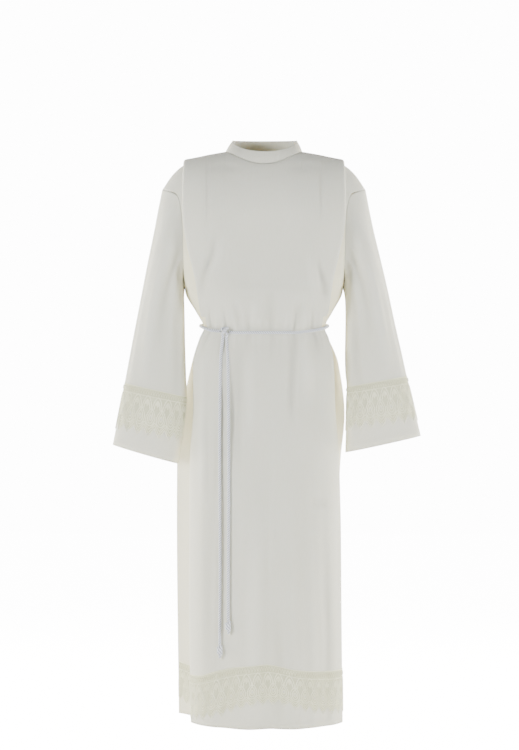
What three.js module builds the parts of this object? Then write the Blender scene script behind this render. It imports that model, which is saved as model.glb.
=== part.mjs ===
// A priest's alb with its cord cincture, worn and filled out, in millimetres.
// +Z is up, the wearer faces -Y, and +X is the wearer's left.
// The origin is the point between the shoulders, level with the base of the neck.

import * as THREE from "three";

const { clamp, lerp: mix, smoothstep } = THREE.MathUtils;
const rightAngle = Math.PI / 2;

// Cloth, seams and trimmings
const clothThickness = 2;
const collarThickness = 3;
const seamGap = 0.3;
const laceThickness = 1.2;
const laceStandOff = 0.5;
const cordDiameter = 8;
const cordSides = 8;
const knotSides = 14;

// Body: how the cloth rolls over the shoulder, and the neckline's half width and reach
const ridgeY = 5;
const shoulderRoll = 175;
const underarm = 325;
const hemDrop = 1397;
const neckHalfWidth = 95;
const sectionPower = 2.3;

// The shoulder line from the neck outwards, and how far the chest and the back stand out from it
const shoulderLine = [
  { x: 0, ridge: 24, chest: 130, shoulderBlades: 118 },
  { x: 60, ridge: 24, chest: 128, shoulderBlades: 117 },
  { x: 95, ridge: 20, chest: 123, shoulderBlades: 114 },
  { x: 141, ridge: 0, chest: 112, shoulderBlades: 106 },
  { x: 170, ridge: -6, chest: 98, shoulderBlades: 96 },
  { x: 197, ridge: -12, chest: 81, shoulderBlades: 84 },
  { x: 215, ridge: -24, chest: 72, shoulderBlades: 74 },
  { x: 230, ridge: -40, chest: 65, shoulderBlades: 66 },
  { x: 254, ridge: -75, chest: 56, shoulderBlades: 56 },
];

// The armhole and side seams, by the drop below the neck
const seamLevels = [
  { drop: 0, left: 254, right: 254, y: 5 },
  { drop: 9, left: 249, right: 249, y: 5 },
  { drop: 33, left: 236, right: 236, y: 5 },
  { drop: 72, left: 213, right: 213, y: 5 },
  { drop: 121, left: 203, right: 203, y: 5 },
  { drop: 175, left: 200, right: 200, y: 5 },
  { drop: 325, left: 197, right: 197, y: 5 },
  { drop: 380, left: 171, right: 169, y: 5 },
  { drop: 410, left: 154, right: 152, y: 7 },
  { drop: 425, left: 149, right: 147, y: 8 },
  { drop: 450, left: 163, right: 162, y: 10 },
  { drop: 510, left: 187, right: 181, y: 22 },
  { drop: 640, left: 204, right: 208, y: 55 },
  { drop: 757, left: 194, right: 220, y: 75 },
  { drop: 900, left: 188, right: 221, y: 82 },
  { drop: 1397, left: 188, right: 216, y: 87 },
];

// Each panel's centre line, and its shoulder pleat: the folded edge, how deep the cloth tucks in behind it,
// where the inner fold lies in the skirt, and the room between the layers
const frontLevels = [
  { drop: 0, centre: -125, left: 197, right: 197, tuck: 56, rootY: -20, layer: 6 },
  { drop: 121, centre: -125, left: 196, right: 196, tuck: 55, rootY: -20, layer: 6 },
  { drop: 175, centre: -125, left: 190, right: 190, tuck: 50, rootY: -20, layer: 6 },
  { drop: 325, centre: -129, left: 160, right: 159, tuck: 40, rootY: -20, layer: 6 },
  { drop: 405, centre: -121, left: 148, right: 146, tuck: 30, rootY: -20, layer: 5 },
  { drop: 425, centre: -112, left: 144, right: 142, tuck: 28, rootY: -20, layer: 5 },
  { drop: 450, centre: -117, left: 154, right: 153, tuck: 27, rootY: -18, layer: 5 },
  { drop: 510, centre: -128, left: 167, right: 170, tuck: 25, rootY: -14, layer: 6 },
  { drop: 640, centre: -138, left: 178, right: 176, tuck: 24, rootY: -5, layer: 6 },
  { drop: 757, centre: -143, left: 187, right: 184, tuck: 26, rootY: 0, layer: 6 },
  { drop: 1100, centre: -149, left: 193, right: 186, tuck: 26, rootY: 6, layer: 6 },
  { drop: 1397, centre: -153, left: 196, right: 182, tuck: 24, rootY: 10, layer: 6 },
];
const backLevels = [
  { drop: 0, centre: 120, left: 197, right: 197, tuck: 56, rootY: 90, layer: 6 },
  { drop: 175, centre: 120, left: 190, right: 190, tuck: 50, rootY: 90, layer: 6 },
  { drop: 325, centre: 122, left: 160, right: 160, tuck: 40, rootY: 90, layer: 6 },
  { drop: 405, centre: 114, left: 146, right: 145, tuck: 30, rootY: 90, layer: 5 },
  { drop: 425, centre: 106, left: 143, right: 141, tuck: 28, rootY: 90, layer: 5 },
  { drop: 510, centre: 120, left: 160, right: 160, tuck: 24, rootY: 92, layer: 6 },
  { drop: 640, centre: 131, left: 166, right: 170, tuck: 20, rootY: 95, layer: 6 },
  { drop: 900, centre: 142, left: 165, right: 174, tuck: 18, rootY: 99, layer: 6 },
  { drop: 1397, centre: 151, left: 162, right: 170, tuck: 16, rootY: 101, layer: 6 },
];

// Long folds in a panel: the place across it (-1 and 1 are the pleats' edges), where the fold starts and is
// full, its half width as a share of the panel, and its depth (below zero for a trough)
const frontFolds = [
  { place: 0.08, start: 560, full: 900, width: 0.17, depth: -10 },
  { place: -0.24, start: 520, full: 1000, width: 0.18, depth: 7 },
  { place: -0.55, start: 480, full: 900, width: 0.16, depth: -6 },
  { place: 0.42, start: 600, full: 1150, width: 0.2, depth: 7 },
  { place: 0.78, start: 700, full: 1200, width: 0.12, depth: -5 },
];
const backFolds = [
  { place: 0, start: 470, full: 800, width: 0.18, depth: -11 },
  { place: 0.35, start: 500, full: 950, width: 0.16, depth: 8 },
  { place: -0.33, start: 520, full: 900, width: 0.17, depth: 9 },
  { place: -0.66, start: 480, full: 900, width: 0.14, depth: -8 },
  { place: 0.68, start: 560, full: 1000, width: 0.13, depth: -7 },
];

const panels = {
  front: {
    facing: -1, neckReach: 83, levels: frontLevels, folds: frontFolds,
    standsOut: "chest", turnY: 20, turnRoom: 8, underShare: 0.62,
  },
  back: {
    facing: 1, neckReach: 42, levels: backLevels, folds: backFolds,
    standsOut: "shoulderBlades", turnY: 60, turnRoom: 25, underShare: 0.3,
  },
};

// Rows of a panel, from the shoulder to the underarm, the belt and the hem
const shoulderRowAngles = [0, 18, 36, 54, 72, 90];
const armholeDrops = [205, 235, 263, 288, 308, 320, underarm];
const skirtDrops = [375, 405, 425, 450, 510, 640, 800, 1010, 1225, hemDrop];
const rows = [
  ...shoulderRowAngles.map((degrees) => {
    const angle = THREE.MathUtils.degToRad(degrees);
    return { angle, drop: shoulderRoll * (1 - Math.cos(angle)) };
  }),
  ...[...armholeDrops, ...skirtDrops].map((drop) => ({ angle: rightAngle, drop })),
];
const underarmRow = shoulderRowAngles.length + armholeDrops.length - 1;
// Each panel's solid is cut across under the waist cord and above the knee, with this gap
const cutGap = 0.7;
const [waistCut, kneeCut] = [425, 800].map((cut) => rows.findIndex(({ drop }) => drop === cut));

// Where the bodice's rows turn into the skirt's, and where a row's points start to lie evenly
const bodiceUnderTurn = { from: 100, to: 250 };
const skirtTurn = { from: 425, to: 640 };
const evenRows = { from: 600, to: 1225 };

// Columns of half a panel, from its centre line to its seam, with the places along the skirt's turn
const neckColumns = 6;
const slopeColumns = 2;
const pleatColumns = 3;
const foldColumn = neckColumns + slopeColumns + pleatColumns + 1;
const underColumns = 4;
const neckShareOfPanel = 0.62;
const underPlace = 0.55;
const turnShares = [0.25, 0.3, 0.375, 0.45, 0.5, 0.55, 0.65, 0.75, 0.875, 1];

// Sleeve rings from the armhole to the cuff: the outer and inner edges, the middle's y and half the depth
const sleeveRings = {
  right: [
    { outerX: 264, outerDrop: 125, innerX: 200, innerDrop: 343, y: 3, halfDepth: 77 },
    { outerX: 275, outerDrop: 185, innerX: 199, innerDrop: 368, y: -2, halfDepth: 74 },
    { outerX: 289, outerDrop: 255, innerX: 198, innerDrop: 402, y: -8, halfDepth: 70 },
    { outerX: 304, outerDrop: 335, innerX: 197, innerDrop: 447, y: -15, halfDepth: 65 },
    { outerX: 321, outerDrop: 425, innerX: 195, innerDrop: 505, y: -24, halfDepth: 60 },
    { outerX: 333, outerDrop: 490, innerX: 193.5, innerDrop: 548, y: -30, halfDepth: 56 },
    { outerX: 345, outerDrop: 557, innerX: 192.5, innerDrop: 592, y: -36, halfDepth: 53 },
    { outerX: 374, outerDrop: 710, innerX: 212, innerDrop: 757, y: -45, halfDepth: 48 },
  ],
  left: [
    { outerX: 262, outerDrop: 118, innerX: 203, innerDrop: 343, y: 3, halfDepth: 77 },
    { outerX: 274, outerDrop: 178, innerX: 204, innerDrop: 368, y: -2, halfDepth: 74 },
    { outerX: 290, outerDrop: 246, innerX: 204, innerDrop: 402, y: -8, halfDepth: 70 },
    { outerX: 308, outerDrop: 325, innerX: 203, innerDrop: 447, y: -15, halfDepth: 65 },
    { outerX: 326, outerDrop: 412, innerX: 202, innerDrop: 500, y: -24, halfDepth: 60 },
    { outerX: 340, outerDrop: 475, innerX: 203, innerDrop: 535, y: -30, halfDepth: 56 },
    { outerX: 354, outerDrop: 540, innerX: 206, innerDrop: 567, y: -36, halfDepth: 53 },
    { outerX: 388, outerDrop: 688, innerX: 202, innerDrop: 729, y: -45, halfDepth: 48 },
  ],
};
// Long folds down a sleeve: the angle from its outer edge by way of the front, and the depth at each ring
const sleeveFolds = [
  { angle: 102, width: 26, depths: [0, -4, -7, -8, -7, -5, -3, 0, 0] },
  { angle: 62, width: 26, depths: [0, 2, 4, 4, 4, 4, 2, 0, 0] },
  { angle: 258, width: 30, depths: [0, -3, -6, -7, -6, -5, -3, 0, 0] },
  { angle: 300, width: 28, depths: [0, 2, 3, 4, 5, 4, 2, 0, 0] },
];
// Under the arm the sleeve's edge lies beside the body's, from this share of the way down the armhole
const underarmLap = clothThickness + seamGap + 0.1;
const underarmLapFrom = 0.7;
const armholeHalfDepth = 78;
const sleeveHeadRings = 4;

// The collar's upper edge, which leans in from the neckline and stands higher at the back
const collarTop = {
  middleX: 2, halfWidth: 79, swell: 1.5,
  side: { y: 4, z: 49 }, front: { y: -66, z: 14 }, back: { y: 40, z: 52 },
};

// Lace bands: the upper and lower edge in the hem by the place across the panel, and down the cuff as shares
const hemLaceLine = [
  { place: -1, top: 1265, bottom: 1362 },
  { place: -0.62, top: 1279, bottom: 1386 },
  { place: -0.48, top: 1277, bottom: 1384 },
  { place: -0.3, top: 1259, bottom: 1371 },
  { place: -0.15, top: 1246, bottom: 1348 },
  { place: 0, top: 1241, bottom: 1338 },
  { place: 0.1, top: 1246, bottom: 1338 },
  { place: 0.24, top: 1256, bottom: 1352 },
  { place: 0.42, top: 1263, bottom: 1366 },
  { place: 0.6, top: 1265, bottom: 1370 },
  { place: 1, top: 1265, bottom: 1362 },
];
const cuffLaceBottom = { outer: 0.75, inner: 0.69 };
const laceEye = { from: 0.56, to: 0.74 };
const scallopNotch = 0.06;
const columnsInMotif = 3;

// The cincture: its height round the waist, the knot's place and the free ends
const cordSlack = 1;
const waistCordDrop = { side: 415, front: 434, back: 405, reach: 110 };
const knot = { x: -96, y: -108.6, z: -431, width: 17.6, depth: 16, height: 22 };
const endKnot = { width: 15, height: 24, standsOut: 3 };
const longEnd = [
  [-100.3, -108.6, -442.9], [-101.3, -108.9, -452], [-103.3, -109.4, -467], [-105.3, -111.5, -487],
  [-106.4, -115.2, -512], [-107, -116.6, -545], [-107.4, -118.8, -590], [-107.8, -120.9, -640],
  [-108, -122.8, -700], [-108, -124.6, -760], [-107.7, -126.1, -820], [-107.3, -126.9, -885],
  [-107, -128, -950], [-107, -128.8, -1015], [-107.2, -129.5, -1080], [-107.6, -130.1, -1140],
  [-108, -130.7, -1195],
];
const shortEnd = [
  [-91.7, -108.6, -443], [-90.8, -109.4, -452], [-89.4, -111.6, -467], [-88.4, -116, -487],
  [-87.8, -121.1, -512], [-87.4, -123.5, -545], [-87, -126.6, -590], [-86.6, -130.2, -640],
  [-86.2, -132.5, -700], [-86, -134.7, -760], [-86, -136.4, -820], [-86.3, -137.4, -885],
  [-86.7, -138.6, -950], [-87, -139.5, -1015], [-87.2, -140.4, -1080], [-87.2, -141.4, -1135],
];

// A smooth curve through one column of a table, with no overshoot between its rows
function column(table, key, by = "drop") {
  const at = table.map((row) => row[by]);
  const value = table.map((row) => row[key]);
  const last = at.length - 1;
  const slope = value.slice(1).map((v, i) => (v - value[i]) / (at[i + 1] - at[i]));
  const tangent = value.map((_, i) => {
    const before = slope[Math.max(i - 1, 0)];
    const after = slope[Math.min(i, last - 1)];
    return before * after <= 0 ? 0 : (2 * before * after) / (before + after);
  });
  return (place) => {
    const x = clamp(place, at[0], at[last]);
    const i = Math.max(at.findLastIndex((from, k) => k < last && from <= x), 0);
    const span = at[i + 1] - at[i];
    const t = (x - at[i]) / span;
    const rise = t * t * (3 - 2 * t);
    const start = t * (1 - t) * (1 - t) * span * tangent[i];
    const end = t * t * (t - 1) * span * tangent[i + 1];
    return mix(value[i], value[i + 1], rise) + start + end;
  };
}

const ridgeAt = column(shoulderLine, "ridge", "x");
const seamAt = {
  left: column(seamLevels, "left"),
  right: column(seamLevels, "right"),
  y: column(seamLevels, "y"),
};
for (const panel of Object.values(panels)) {
  panel.reachAt = column(shoulderLine, panel.standsOut, "x");
  for (const key of ["centre", "left", "right", "tuck", "rootY", "layer"]) {
    panel[key] = column(panel.levels, key);
  }
}

// The y of a rounded section that is widest at turnY, at x from its middle
function sectionY(centreY, turnY, halfWidth, x) {
  const share = 1 - Math.min(x / halfWidth, 1) ** sectionPower;
  return turnY + (centreY - turnY) * share ** (1 / sectionPower);
}

// A point of the smooth form that the panel lies on, x from the middle, in a row that starts at the neckline
function formPoint(panel, side, x, neckAngle, row) {
  const angle = mix(neckAngle, rightAngle, row.angle / rightAngle);
  const fallen = Math.max(row.drop - shoulderRoll, 0);
  const share = clamp(fallen / (underarm - shoulderRoll), 0, 1);
  const shoulderY = ridgeY + panel.facing * panel.reachAt(x) * Math.sin(angle);
  const shoulderZ = ridgeAt(x) - shoulderRoll * (1 - Math.cos(angle)) - fallen;
  const bodyY = sectionY(panel.centre(row.drop), seamAt.y(row.drop), seamAt[side](row.drop), x);
  return new THREE.Vector3(
    x,
    mix(shoulderY, bodyY, 1 - Math.sqrt(1 - share * share)),
    mix(shoulderZ, -row.drop, smoothstep(share, 0, 1)),
  );
}

// The same point lifted off the form by so much, along the form's outward normal
function liftedPoint(panel, side, x, neckAngle, row, lift) {
  const point = formPoint(panel, side, x, neckAngle, row);
  const step = 1;
  const inward = Math.max(x - step, 0);
  const across = formPoint(panel, side, inward + step, neckAngle, row)
    .sub(formPoint(panel, side, inward, neckAngle, row));
  const turned = { ...row, angle: row.angle + 0.02 };
  const below = row.drop < shoulderRoll ? turned : { ...row, drop: row.drop + step };
  const down = formPoint(panel, side, x, neckAngle, below).sub(point);
  const normal = new THREE.Vector3().crossVectors(across, down).normalize();
  if (normal.y * panel.facing + Math.max(normal.z, 0) < 0) normal.negate();
  return point.addScaledVector(normal, lift);
}

// Half a row above the waist: the centre, the pleat's top layer, its return and the cloth beneath it
function bodiceHalfRow(panel, side, row) {
  const edge = panel[side](row.drop);
  const root = edge - panel.tuck(row.drop);
  const layer = panel.layer(row.drop);
  const bend = layer / 2;
  const seam = seamAt[side](row.drop);
  const neck = Math.min(neckHalfWidth, neckShareOfPanel * edge);
  const settled = clamp(row.drop / shoulderRoll, 0, 1);
  const points = [];
  const add = (x, lift, neckAngle = 0) => points.push(liftedPoint(panel, side, x, neckAngle, row, lift));
  const topLift = (x) => 2 * layer * smoothstep(x, neck, root);
  for (let i = 0; i <= neckColumns; i++) {
    const share = i / neckColumns;
    const round = Math.sin(share * rightAngle);
    const reach = panel.neckReach * Math.cos(share * rightAngle);
    const neckAngle = Math.asin(reach / panel.reachAt(neckHalfWidth * round));
    add(neck * mix(round, share, settled), 0, neckAngle);
  }
  for (let i = 1; i <= slopeColumns; i++) {
    const x = mix(neck, root, i / slopeColumns);
    add(x, topLift(x));
  }
  for (let i = 1; i <= pleatColumns; i++) add(mix(root, edge - bend, i / pleatColumns), 2 * layer);
  add(edge, 1.5 * layer);
  for (const share of [0, 0.5, 1]) add(mix(edge - bend, root + bend, share), layer);
  add(root, 0.5 * layer);
  const turned = smoothstep(row.drop, bodiceUnderTurn.from, bodiceUnderTurn.to);
  for (let i = 0; i <= underColumns; i++) {
    const share = i / underColumns;
    add(mix(root + bend, seam, mix(share, Math.sin(share * rightAngle), turned)), 0);
  }
  return points;
}

// Half a row of the skirt: the top layer to the folded edge, then in to the root and out to the side seam
function skirtHalfRow(panel, side, row) {
  const edge = panel[side](row.drop);
  const centre = panel.centre(row.drop);
  const topY = (x) => sectionY(centre, panel.turnY, edge + panel.turnRoom, x);
  const root = edge - panel.tuck(row.drop);
  const rootY = panel.rootY(row.drop);
  const seam = seamAt[side](row.drop);
  const seamY = seamAt.y(row.drop);
  const points = [];
  for (let i = 0; i < foldColumn; i++) {
    const x = (edge * i) / foldColumn;
    points.push(new THREE.Vector3(x, topY(x), -row.drop));
  }
  const turn = new THREE.CatmullRomCurve3([
    points.at(-1),
    new THREE.Vector3(edge, topY(edge), -row.drop),
    new THREE.Vector3(root, rootY, -row.drop),
    new THREE.Vector3(mix(root, seam, underPlace), mix(rootY, seamY, panel.underShare), -row.drop),
    new THREE.Vector3(seam, seamY, -row.drop),
  ]);
  return [...points, ...turnShares.map((along) => turn.getPoint(along))];
}

// Moves the points along their own curve until they lie evenly
function spreadEvenly(points, share) {
  const stepsBetween = 8;
  const last = points.length - 1;
  const curve = new THREE.CatmullRomCurve3(points);
  curve.arcLengthDivisions = stepsBetween * last;
  const lengths = curve.getLengths();
  const total = lengths[lengths.length - 1];
  return points.map((point, i) => {
    if (i === 0 || i === last) return point;
    return curve.getPointAt(mix(lengths[i * stepsBetween] / total, i / last, share));
  });
}

// Raises or sinks the top layer in the panel's long folds
function fold(panel, side, points, drop) {
  const direction = side === "left" ? 1 : -1;
  const edge = points[foldColumn].x;
  return points.map((point, i) => {
    if (i >= foldColumn) return point;
    const place = (direction * point.x) / edge;
    const nearEdge = 1 - smoothstep(Math.abs(place), 0.82, 1);
    let depth = 0;
    for (const each of panel.folds) {
      const away = clamp(Math.abs(place - each.place) / each.width, 0, 1);
      depth += each.depth * smoothstep(drop, each.start, each.full) * (1 - smoothstep(away, 0, 1));
    }
    return point.clone().add(new THREE.Vector3(0, panel.facing * depth * nearEdge, 0));
  });
}

function halfRow(panel, side, row) {
  const skirtShare = smoothstep(row.drop, skirtTurn.from, skirtTurn.to);
  const above = bodiceHalfRow(panel, side, row);
  const below = skirtHalfRow(panel, side, row);
  const points = above.map((point, i) => point.lerp(below[i], skirtShare));
  const evenness = smoothstep(row.drop, evenRows.from, evenRows.to);
  return fold(panel, side, evenness > 0 ? spreadEvenly(points, evenness) : points, row.drop);
}

// A panel's whole grid of points: rows downwards, columns anticlockwise as seen from above
function panelGrid(panel) {
  return rows.map((row) => {
    const rightHalf = halfRow(panel, "right", row).map((point) => point.setX(-point.x));
    const leftHalf = halfRow(panel, "left", row);
    const across = [...rightHalf.reverse(), ...leftHalf.slice(1)];
    return panel.facing < 0 ? across : across.reverse();
  });
}

// The ring of points round an armhole: its top, one panel's edge down, the underarm and the other's edge up
function armholeRing(grids, side) {
  const down = (grid) => grid.slice(0, underarmRow + 1);
  const edge = (grid, atStart) => down(grid).map((row) => (atStart ? row[0] : row.at(-1)));
  const first = side === "right" ? edge(grids.front, true) : edge(grids.back, true);
  const second = side === "right" ? edge(grids.back, false) : edge(grids.front, false);
  return [...first, ...second.slice(1, -1).reverse()].map((point) => point.clone());
}

function sleeveGrid(grids, side) {
  const outward = side === "left" ? 1 : -1;
  const start = armholeRing(grids, side);
  const count = start.length;
  const startTop = start[0];
  const startBottom = start[count / 2];
  const rings = [
    {
      outerX: Math.abs(startTop.x), outerDrop: -startTop.z, y: ridgeY,
      innerX: Math.abs(startBottom.x), innerDrop: -startBottom.z, halfDepth: armholeHalfDepth,
    },
    ...sleeveRings[side],
  ];
  const ringPoint = (ring, j) => {
    const outer = new THREE.Vector3(outward * ring.outerX, ring.y, -ring.outerDrop);
    const inner = new THREE.Vector3(outward * ring.innerX, ring.y, -ring.innerDrop);
    const angle = (j / count) * 2 * Math.PI;
    const halfWidth = outer.clone().sub(inner).multiplyScalar(0.5);
    const middle = outer.add(inner).multiplyScalar(0.5);
    const forward = new THREE.Vector3(0, outward * ring.halfDepth, 0);
    const point = middle.clone().addScaledVector(halfWidth, Math.cos(angle));
    return { middle, point: point.addScaledVector(forward, Math.sin(angle)) };
  };
  const offsets = start.map((point, j) => point.clone().sub(ringPoint(rings[0], j).point));
  return rings.map((ring, k) => start.map((_, j) => {
    const { middle, point } = ringPoint(ring, j);
    const fade = (1 - Math.min(k / sleeveHeadRings, 1)) ** 2;
    point.addScaledVector(offsets[j], fade);
    const turned = (j / count) * 360;
    const fromOuter = outward < 0 ? turned : 360 - turned;
    const radial = point.clone().sub(middle).normalize();
    for (const each of sleeveFolds) {
      const away = clamp(Math.abs(fromOuter - each.angle) / each.width, 0, 1);
      point.addScaledVector(radial, each.depths[k] * (1 - smoothstep(away, 0, 1)));
    }
    const nearBottom = 1 - Math.abs(j / (count / 2) - 1);
    if (k === 0 && nearBottom > underarmLapFrom) point.x += outward * underarmLap;
    return point;
  }));
}

function collarGrid(grids) {
  const middle = (grids.front[0].length - 1) / 2;
  const neckline = (grid) => grid[0].slice(middle - neckColumns, middle + neckColumns + 1);
  const seam = [...neckline(grids.front), ...neckline(grids.back).slice(1, -1)];
  const top = seam.map((point) => {
    const acrossShare = clamp(point.x / neckHalfWidth, -1, 1);
    const round = Math.sqrt(1 - acrossShare * acrossShare);
    const { side, middleX, halfWidth } = collarTop;
    const middlePlace = point.y < ridgeY ? collarTop.front : collarTop.back;
    const y = mix(side.y, middlePlace.y, round);
    return new THREE.Vector3(middleX + halfWidth * acrossShare, y, mix(side.z, middlePlace.z, round));
  });
  const middleRow = seam.map((point, j) => {
    const half = point.clone().lerp(top[j], 0.5);
    return half.add(new THREE.Vector3(half.x, half.y, 0).setLength(collarTop.swell));
  });
  return [top, middleRow, seam.map((point) => point.clone())];
}

// Outward normals of a grid, by differences along and across it
function gridNormals(grid, wraps) {
  const lastRow = grid.length - 1;
  const count = grid[0].length;
  return grid.map((row, i) => row.map((_, j) => {
    const before = wraps ? (j + count - 1) % count : Math.max(j - 1, 0);
    const after = wraps ? (j + 1) % count : Math.min(j + 1, count - 1);
    const [above, below] = [grid[Math.max(i - 1, 0)][j], grid[Math.min(i + 1, lastRow)][j]];
    const across = unit(row[j], row[before]).add(unit(row[after], row[j]));
    const down = unit(row[j], above).add(unit(below, row[j]));
    return down.cross(across).normalize();
  }));
}

function unit(to, from) {
  return to.clone().sub(from).normalize();
}

// Where pieces share a seam their walls meet in one plane, so they share its normals too
function shareNormals(pieces) {
  const sums = new Map();
  const key = (point) => point.toArray().map((value) => Math.round(value * 100)).join();
  const each = (visit) => {
    for (const { grid, normals } of pieces) {
      grid.forEach((row, i) => row.forEach((point, j) => visit(key(point), normals, i, j)));
    }
  };
  each((place, normals, i, j) => {
    sums.set(place, (sums.get(place) ?? new THREE.Vector3()).add(normals[i][j]));
  });
  each((place, normals, i, j) => {
    normals[i][j] = sums.get(place).clone().normalize();
  });
}

// Draws a seamed edge back into its own piece by so much
function drawBack(grid, edges, distance) {
  const drawn = grid.map((row) => row.map((point) => point.clone()));
  const lastRow = grid.length - 1;
  const lastColumn = grid[0].length - 1;
  const towards = (i, j, i2, j2) => {
    drawn[i][j].addScaledVector(unit(grid[i2][j2], grid[i][j]), distance);
  };
  for (let i = 0; i <= lastRow; i++) {
    if (edges.includes("sides")) {
      towards(i, 0, i, 1);
      towards(i, lastColumn, i, lastColumn - 1);
    }
  }
  for (let j = 0; j <= lastColumn; j++) {
    if (edges.includes("top")) towards(0, j, 1, j);
    if (edges.includes("bottom")) towards(lastRow, j, lastRow - 1, j);
  }
  return drawn;
}

// A closed wall through a grid, between two distances from it; open cells are cut through,
// and each cell's diagonal is the one that lies inwards, so that a trimming clears it
function wall(grid, normals, inside, outside, { wraps, isOpen = () => false } = {}) {
  const count = grid[0].length;
  const cellRows = grid.length - 1;
  const cellColumns = wraps ? count : count - 1;
  const positions = [];
  for (const distance of [outside, inside]) {
    grid.forEach((row, i) => row.forEach((point, j) => {
      positions.push(...point.clone().addScaledVector(normals[i][j], distance).toArray());
    }));
  }
  const backSide = grid.length * count;
  const vertex = (i, j) => i * count + (wraps ? j % count : j);
  const solid = (i, j) => {
    const wrapped = wraps ? (j + count) % count : j;
    return i >= 0 && i < cellRows && wrapped >= 0 && wrapped < cellColumns && !isOpen(i, wrapped);
  };
  const triangles = [];
  for (let i = 0; i < cellRows; i++) {
    for (let j = 0; j < cellColumns; j++) {
      if (!solid(i, j)) continue;
      const [a, b, c, d] = [vertex(i, j), vertex(i, j + 1), vertex(i + 1, j + 1), vertex(i + 1, j)];
      const [a2, b2, c2, d2] = [a, b, c, d].map((corner) => corner + backSide);
      const [topRow, bottomRow, next] = [grid[i], grid[i + 1], (j + 1) % count];
      const bulge = topRow[j].clone().sub(topRow[next]).add(bottomRow[next]).sub(bottomRow[j]);
      if (bulge.dot(normals[i][j]) > 0) triangles.push(a, d, b, d, c, b, a2, b2, d2, d2, b2, c2);
      else triangles.push(a, d, c, a, c, b, a2, c2, d2, a2, b2, c2);
      const sides = [[a, d, i, j - 1], [d, c, i + 1, j], [c, b, i, j + 1], [b, a, i - 1, j]];
      for (const [from, to, nextRow, nextColumn] of sides) {
        if (solid(nextRow, nextColumn)) continue;
        triangles.push(to, from, from + backSide, to, from + backSide, to + backSide);
      }
    }
  }
  const geometry = new THREE.BufferGeometry();
  geometry.setAttribute("position", new THREE.Float32BufferAttribute(positions, 3));
  geometry.setIndex(triangles);
  geometry.computeVertexNormals();
  return geometry;
}

// A lace band on a grid's outside: its columns are the cloth's and their middles, three to a motif,
// with an eye cut in each motif and the lower edge in scallops
function laceBand({ grid, normals }, columns, lineAt) {
  const half = [columns.from];
  for (let j = Math.floor(columns.from * 2 + 1) / 2; j < columns.to; j += 0.5) half.push(j);
  half.push(columns.to);
  const at = (source, row, j) => {
    const [before, after] = [Math.floor(j) % columns.count, Math.ceil(j) % columns.count];
    return source[row][before].clone().lerp(source[row][after], j - Math.floor(j));
  };
  const bandRows = [0, laceEye.from, laceEye.to, 1];
  const place = (source) => bandRows.map((down, i) => half.map((j, n) => {
    const { row, top, bottom } = lineAt(j);
    const notch = i === bandRows.length - 1 && n % columnsInMotif === 0 ? scallopNotch : 0;
    const share = mix(top, bottom, down * (1 - notch));
    return at(source, row, j).lerp(at(source, row + 1, j), share);
  }));
  const inside = clothThickness / 2 + laceStandOff;
  const isOpen = (i, j) => i === 1 && j % columnsInMotif === 1;
  return wall(place(grid), place(normals), inside, inside + laceThickness, { isOpen });
}

// The outline round a set of plan points, anticlockwise
function outlineOf(points) {
  const sorted = [...points].sort((a, b) => a.x - b.x || a.y - b.y);
  const chain = (list) => {
    const kept = [];
    for (const point of list) {
      while (kept.length > 1 && turn(kept.at(-2), kept.at(-1), point) <= 0) kept.pop();
      kept.push(point);
    }
    return kept.slice(0, -1);
  };
  return [...chain(sorted), ...chain(sorted.reverse())];
}

function turn(a, b, c) {
  return (b.x - a.x) * (c.y - a.y) - (b.y - a.y) * (c.x - a.x);
}

function waistDropAt(point) {
  const { side, front, back, reach } = waistCordDrop;
  const forward = clamp(-point.y / reach, -1, 1);
  return mix(side, forward > 0 ? front : back, forward * forward);
}

// The closed line of the waist cord's middle, just clear of the cloth
function waistLine(grids) {
  const plan = [];
  for (const grid of Object.values(grids)) {
    for (let i = underarmRow; i < grid.length - 1; i++) {
      grid[i].forEach((point, j) => {
        const next = grid[i + 1][j];
        for (const above of [-cordDiameter / 2, 0, cordDiameter / 2]) {
          const share = (waistDropAt(point) - above + point.z) / (point.z - next.z);
          if (share >= 0 && share <= 1) plan.push(point.clone().lerp(next, share));
        }
      });
    }
  }
  const distance = clothThickness / 2 + seamGap + cordDiameter / 2 + cordSlack;
  const outline = outlineOf(plan);
  const corners = outline.map((point, i) => {
    const before = outline.at(i - 1);
    const after = outline[(i + 1) % outline.length];
    const along = unit(point, before).add(unit(after, point)).setZ(0).normalize();
    return new THREE.Vector3(point.x + along.y * distance, point.y - along.x * distance, 0);
  });
  const spaced = [];
  for (const corner of corners) {
    if (spaced.length === 0 || corner.distanceTo(spaced.at(-1)) > cordDiameter) spaced.push(corner);
  }
  return spaced.map((point) => point.setZ(-waistDropAt(point)));
}

function cordTube(points, steps) {
  const section = new THREE.Shape();
  section.absarc(0, 0, cordDiameter / 2, 0, 2 * Math.PI);
  return new THREE.ExtrudeGeometry(section, {
    steps, curveSegments: cordSides / 2, extrudePath: new THREE.CatmullRomCurve3(points), bevelEnabled: false,
  });
}

// A knot as a rounded barrel with flat ends, standing upright
function barrel(width, depth, height) {
  const profile = [
    [0, -0.5], [0.98, -0.5], [1, -0.4], [1, 0.4], [0.98, 0.5], [0, 0.5],
  ].map(([radius, z]) => new THREE.Vector2((radius * width) / 2, z * height));
  return new THREE.LatheGeometry(profile, knotSides).rotateX(rightAngle).scale(1, depth / width, 1);
}

const finishes = {
  alb: { color: 0xe9e7e0, roughness: 0.85 },
  lace: { color: 0xe6e5d2, roughness: 0.8 },
  cord: { color: 0xeeeef0, roughness: 0.7 },
};

const alb = new THREE.Group();
alb.name = "alb_with_cincture";

function addPiece(name, geometry, finish) {
  const material = new THREE.MeshStandardMaterial({ ...finishes[finish], metalness: 0 });
  const mesh = new THREE.Mesh(geometry, material);
  mesh.name = name;
  alb.add(mesh);
  return mesh;
}

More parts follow.
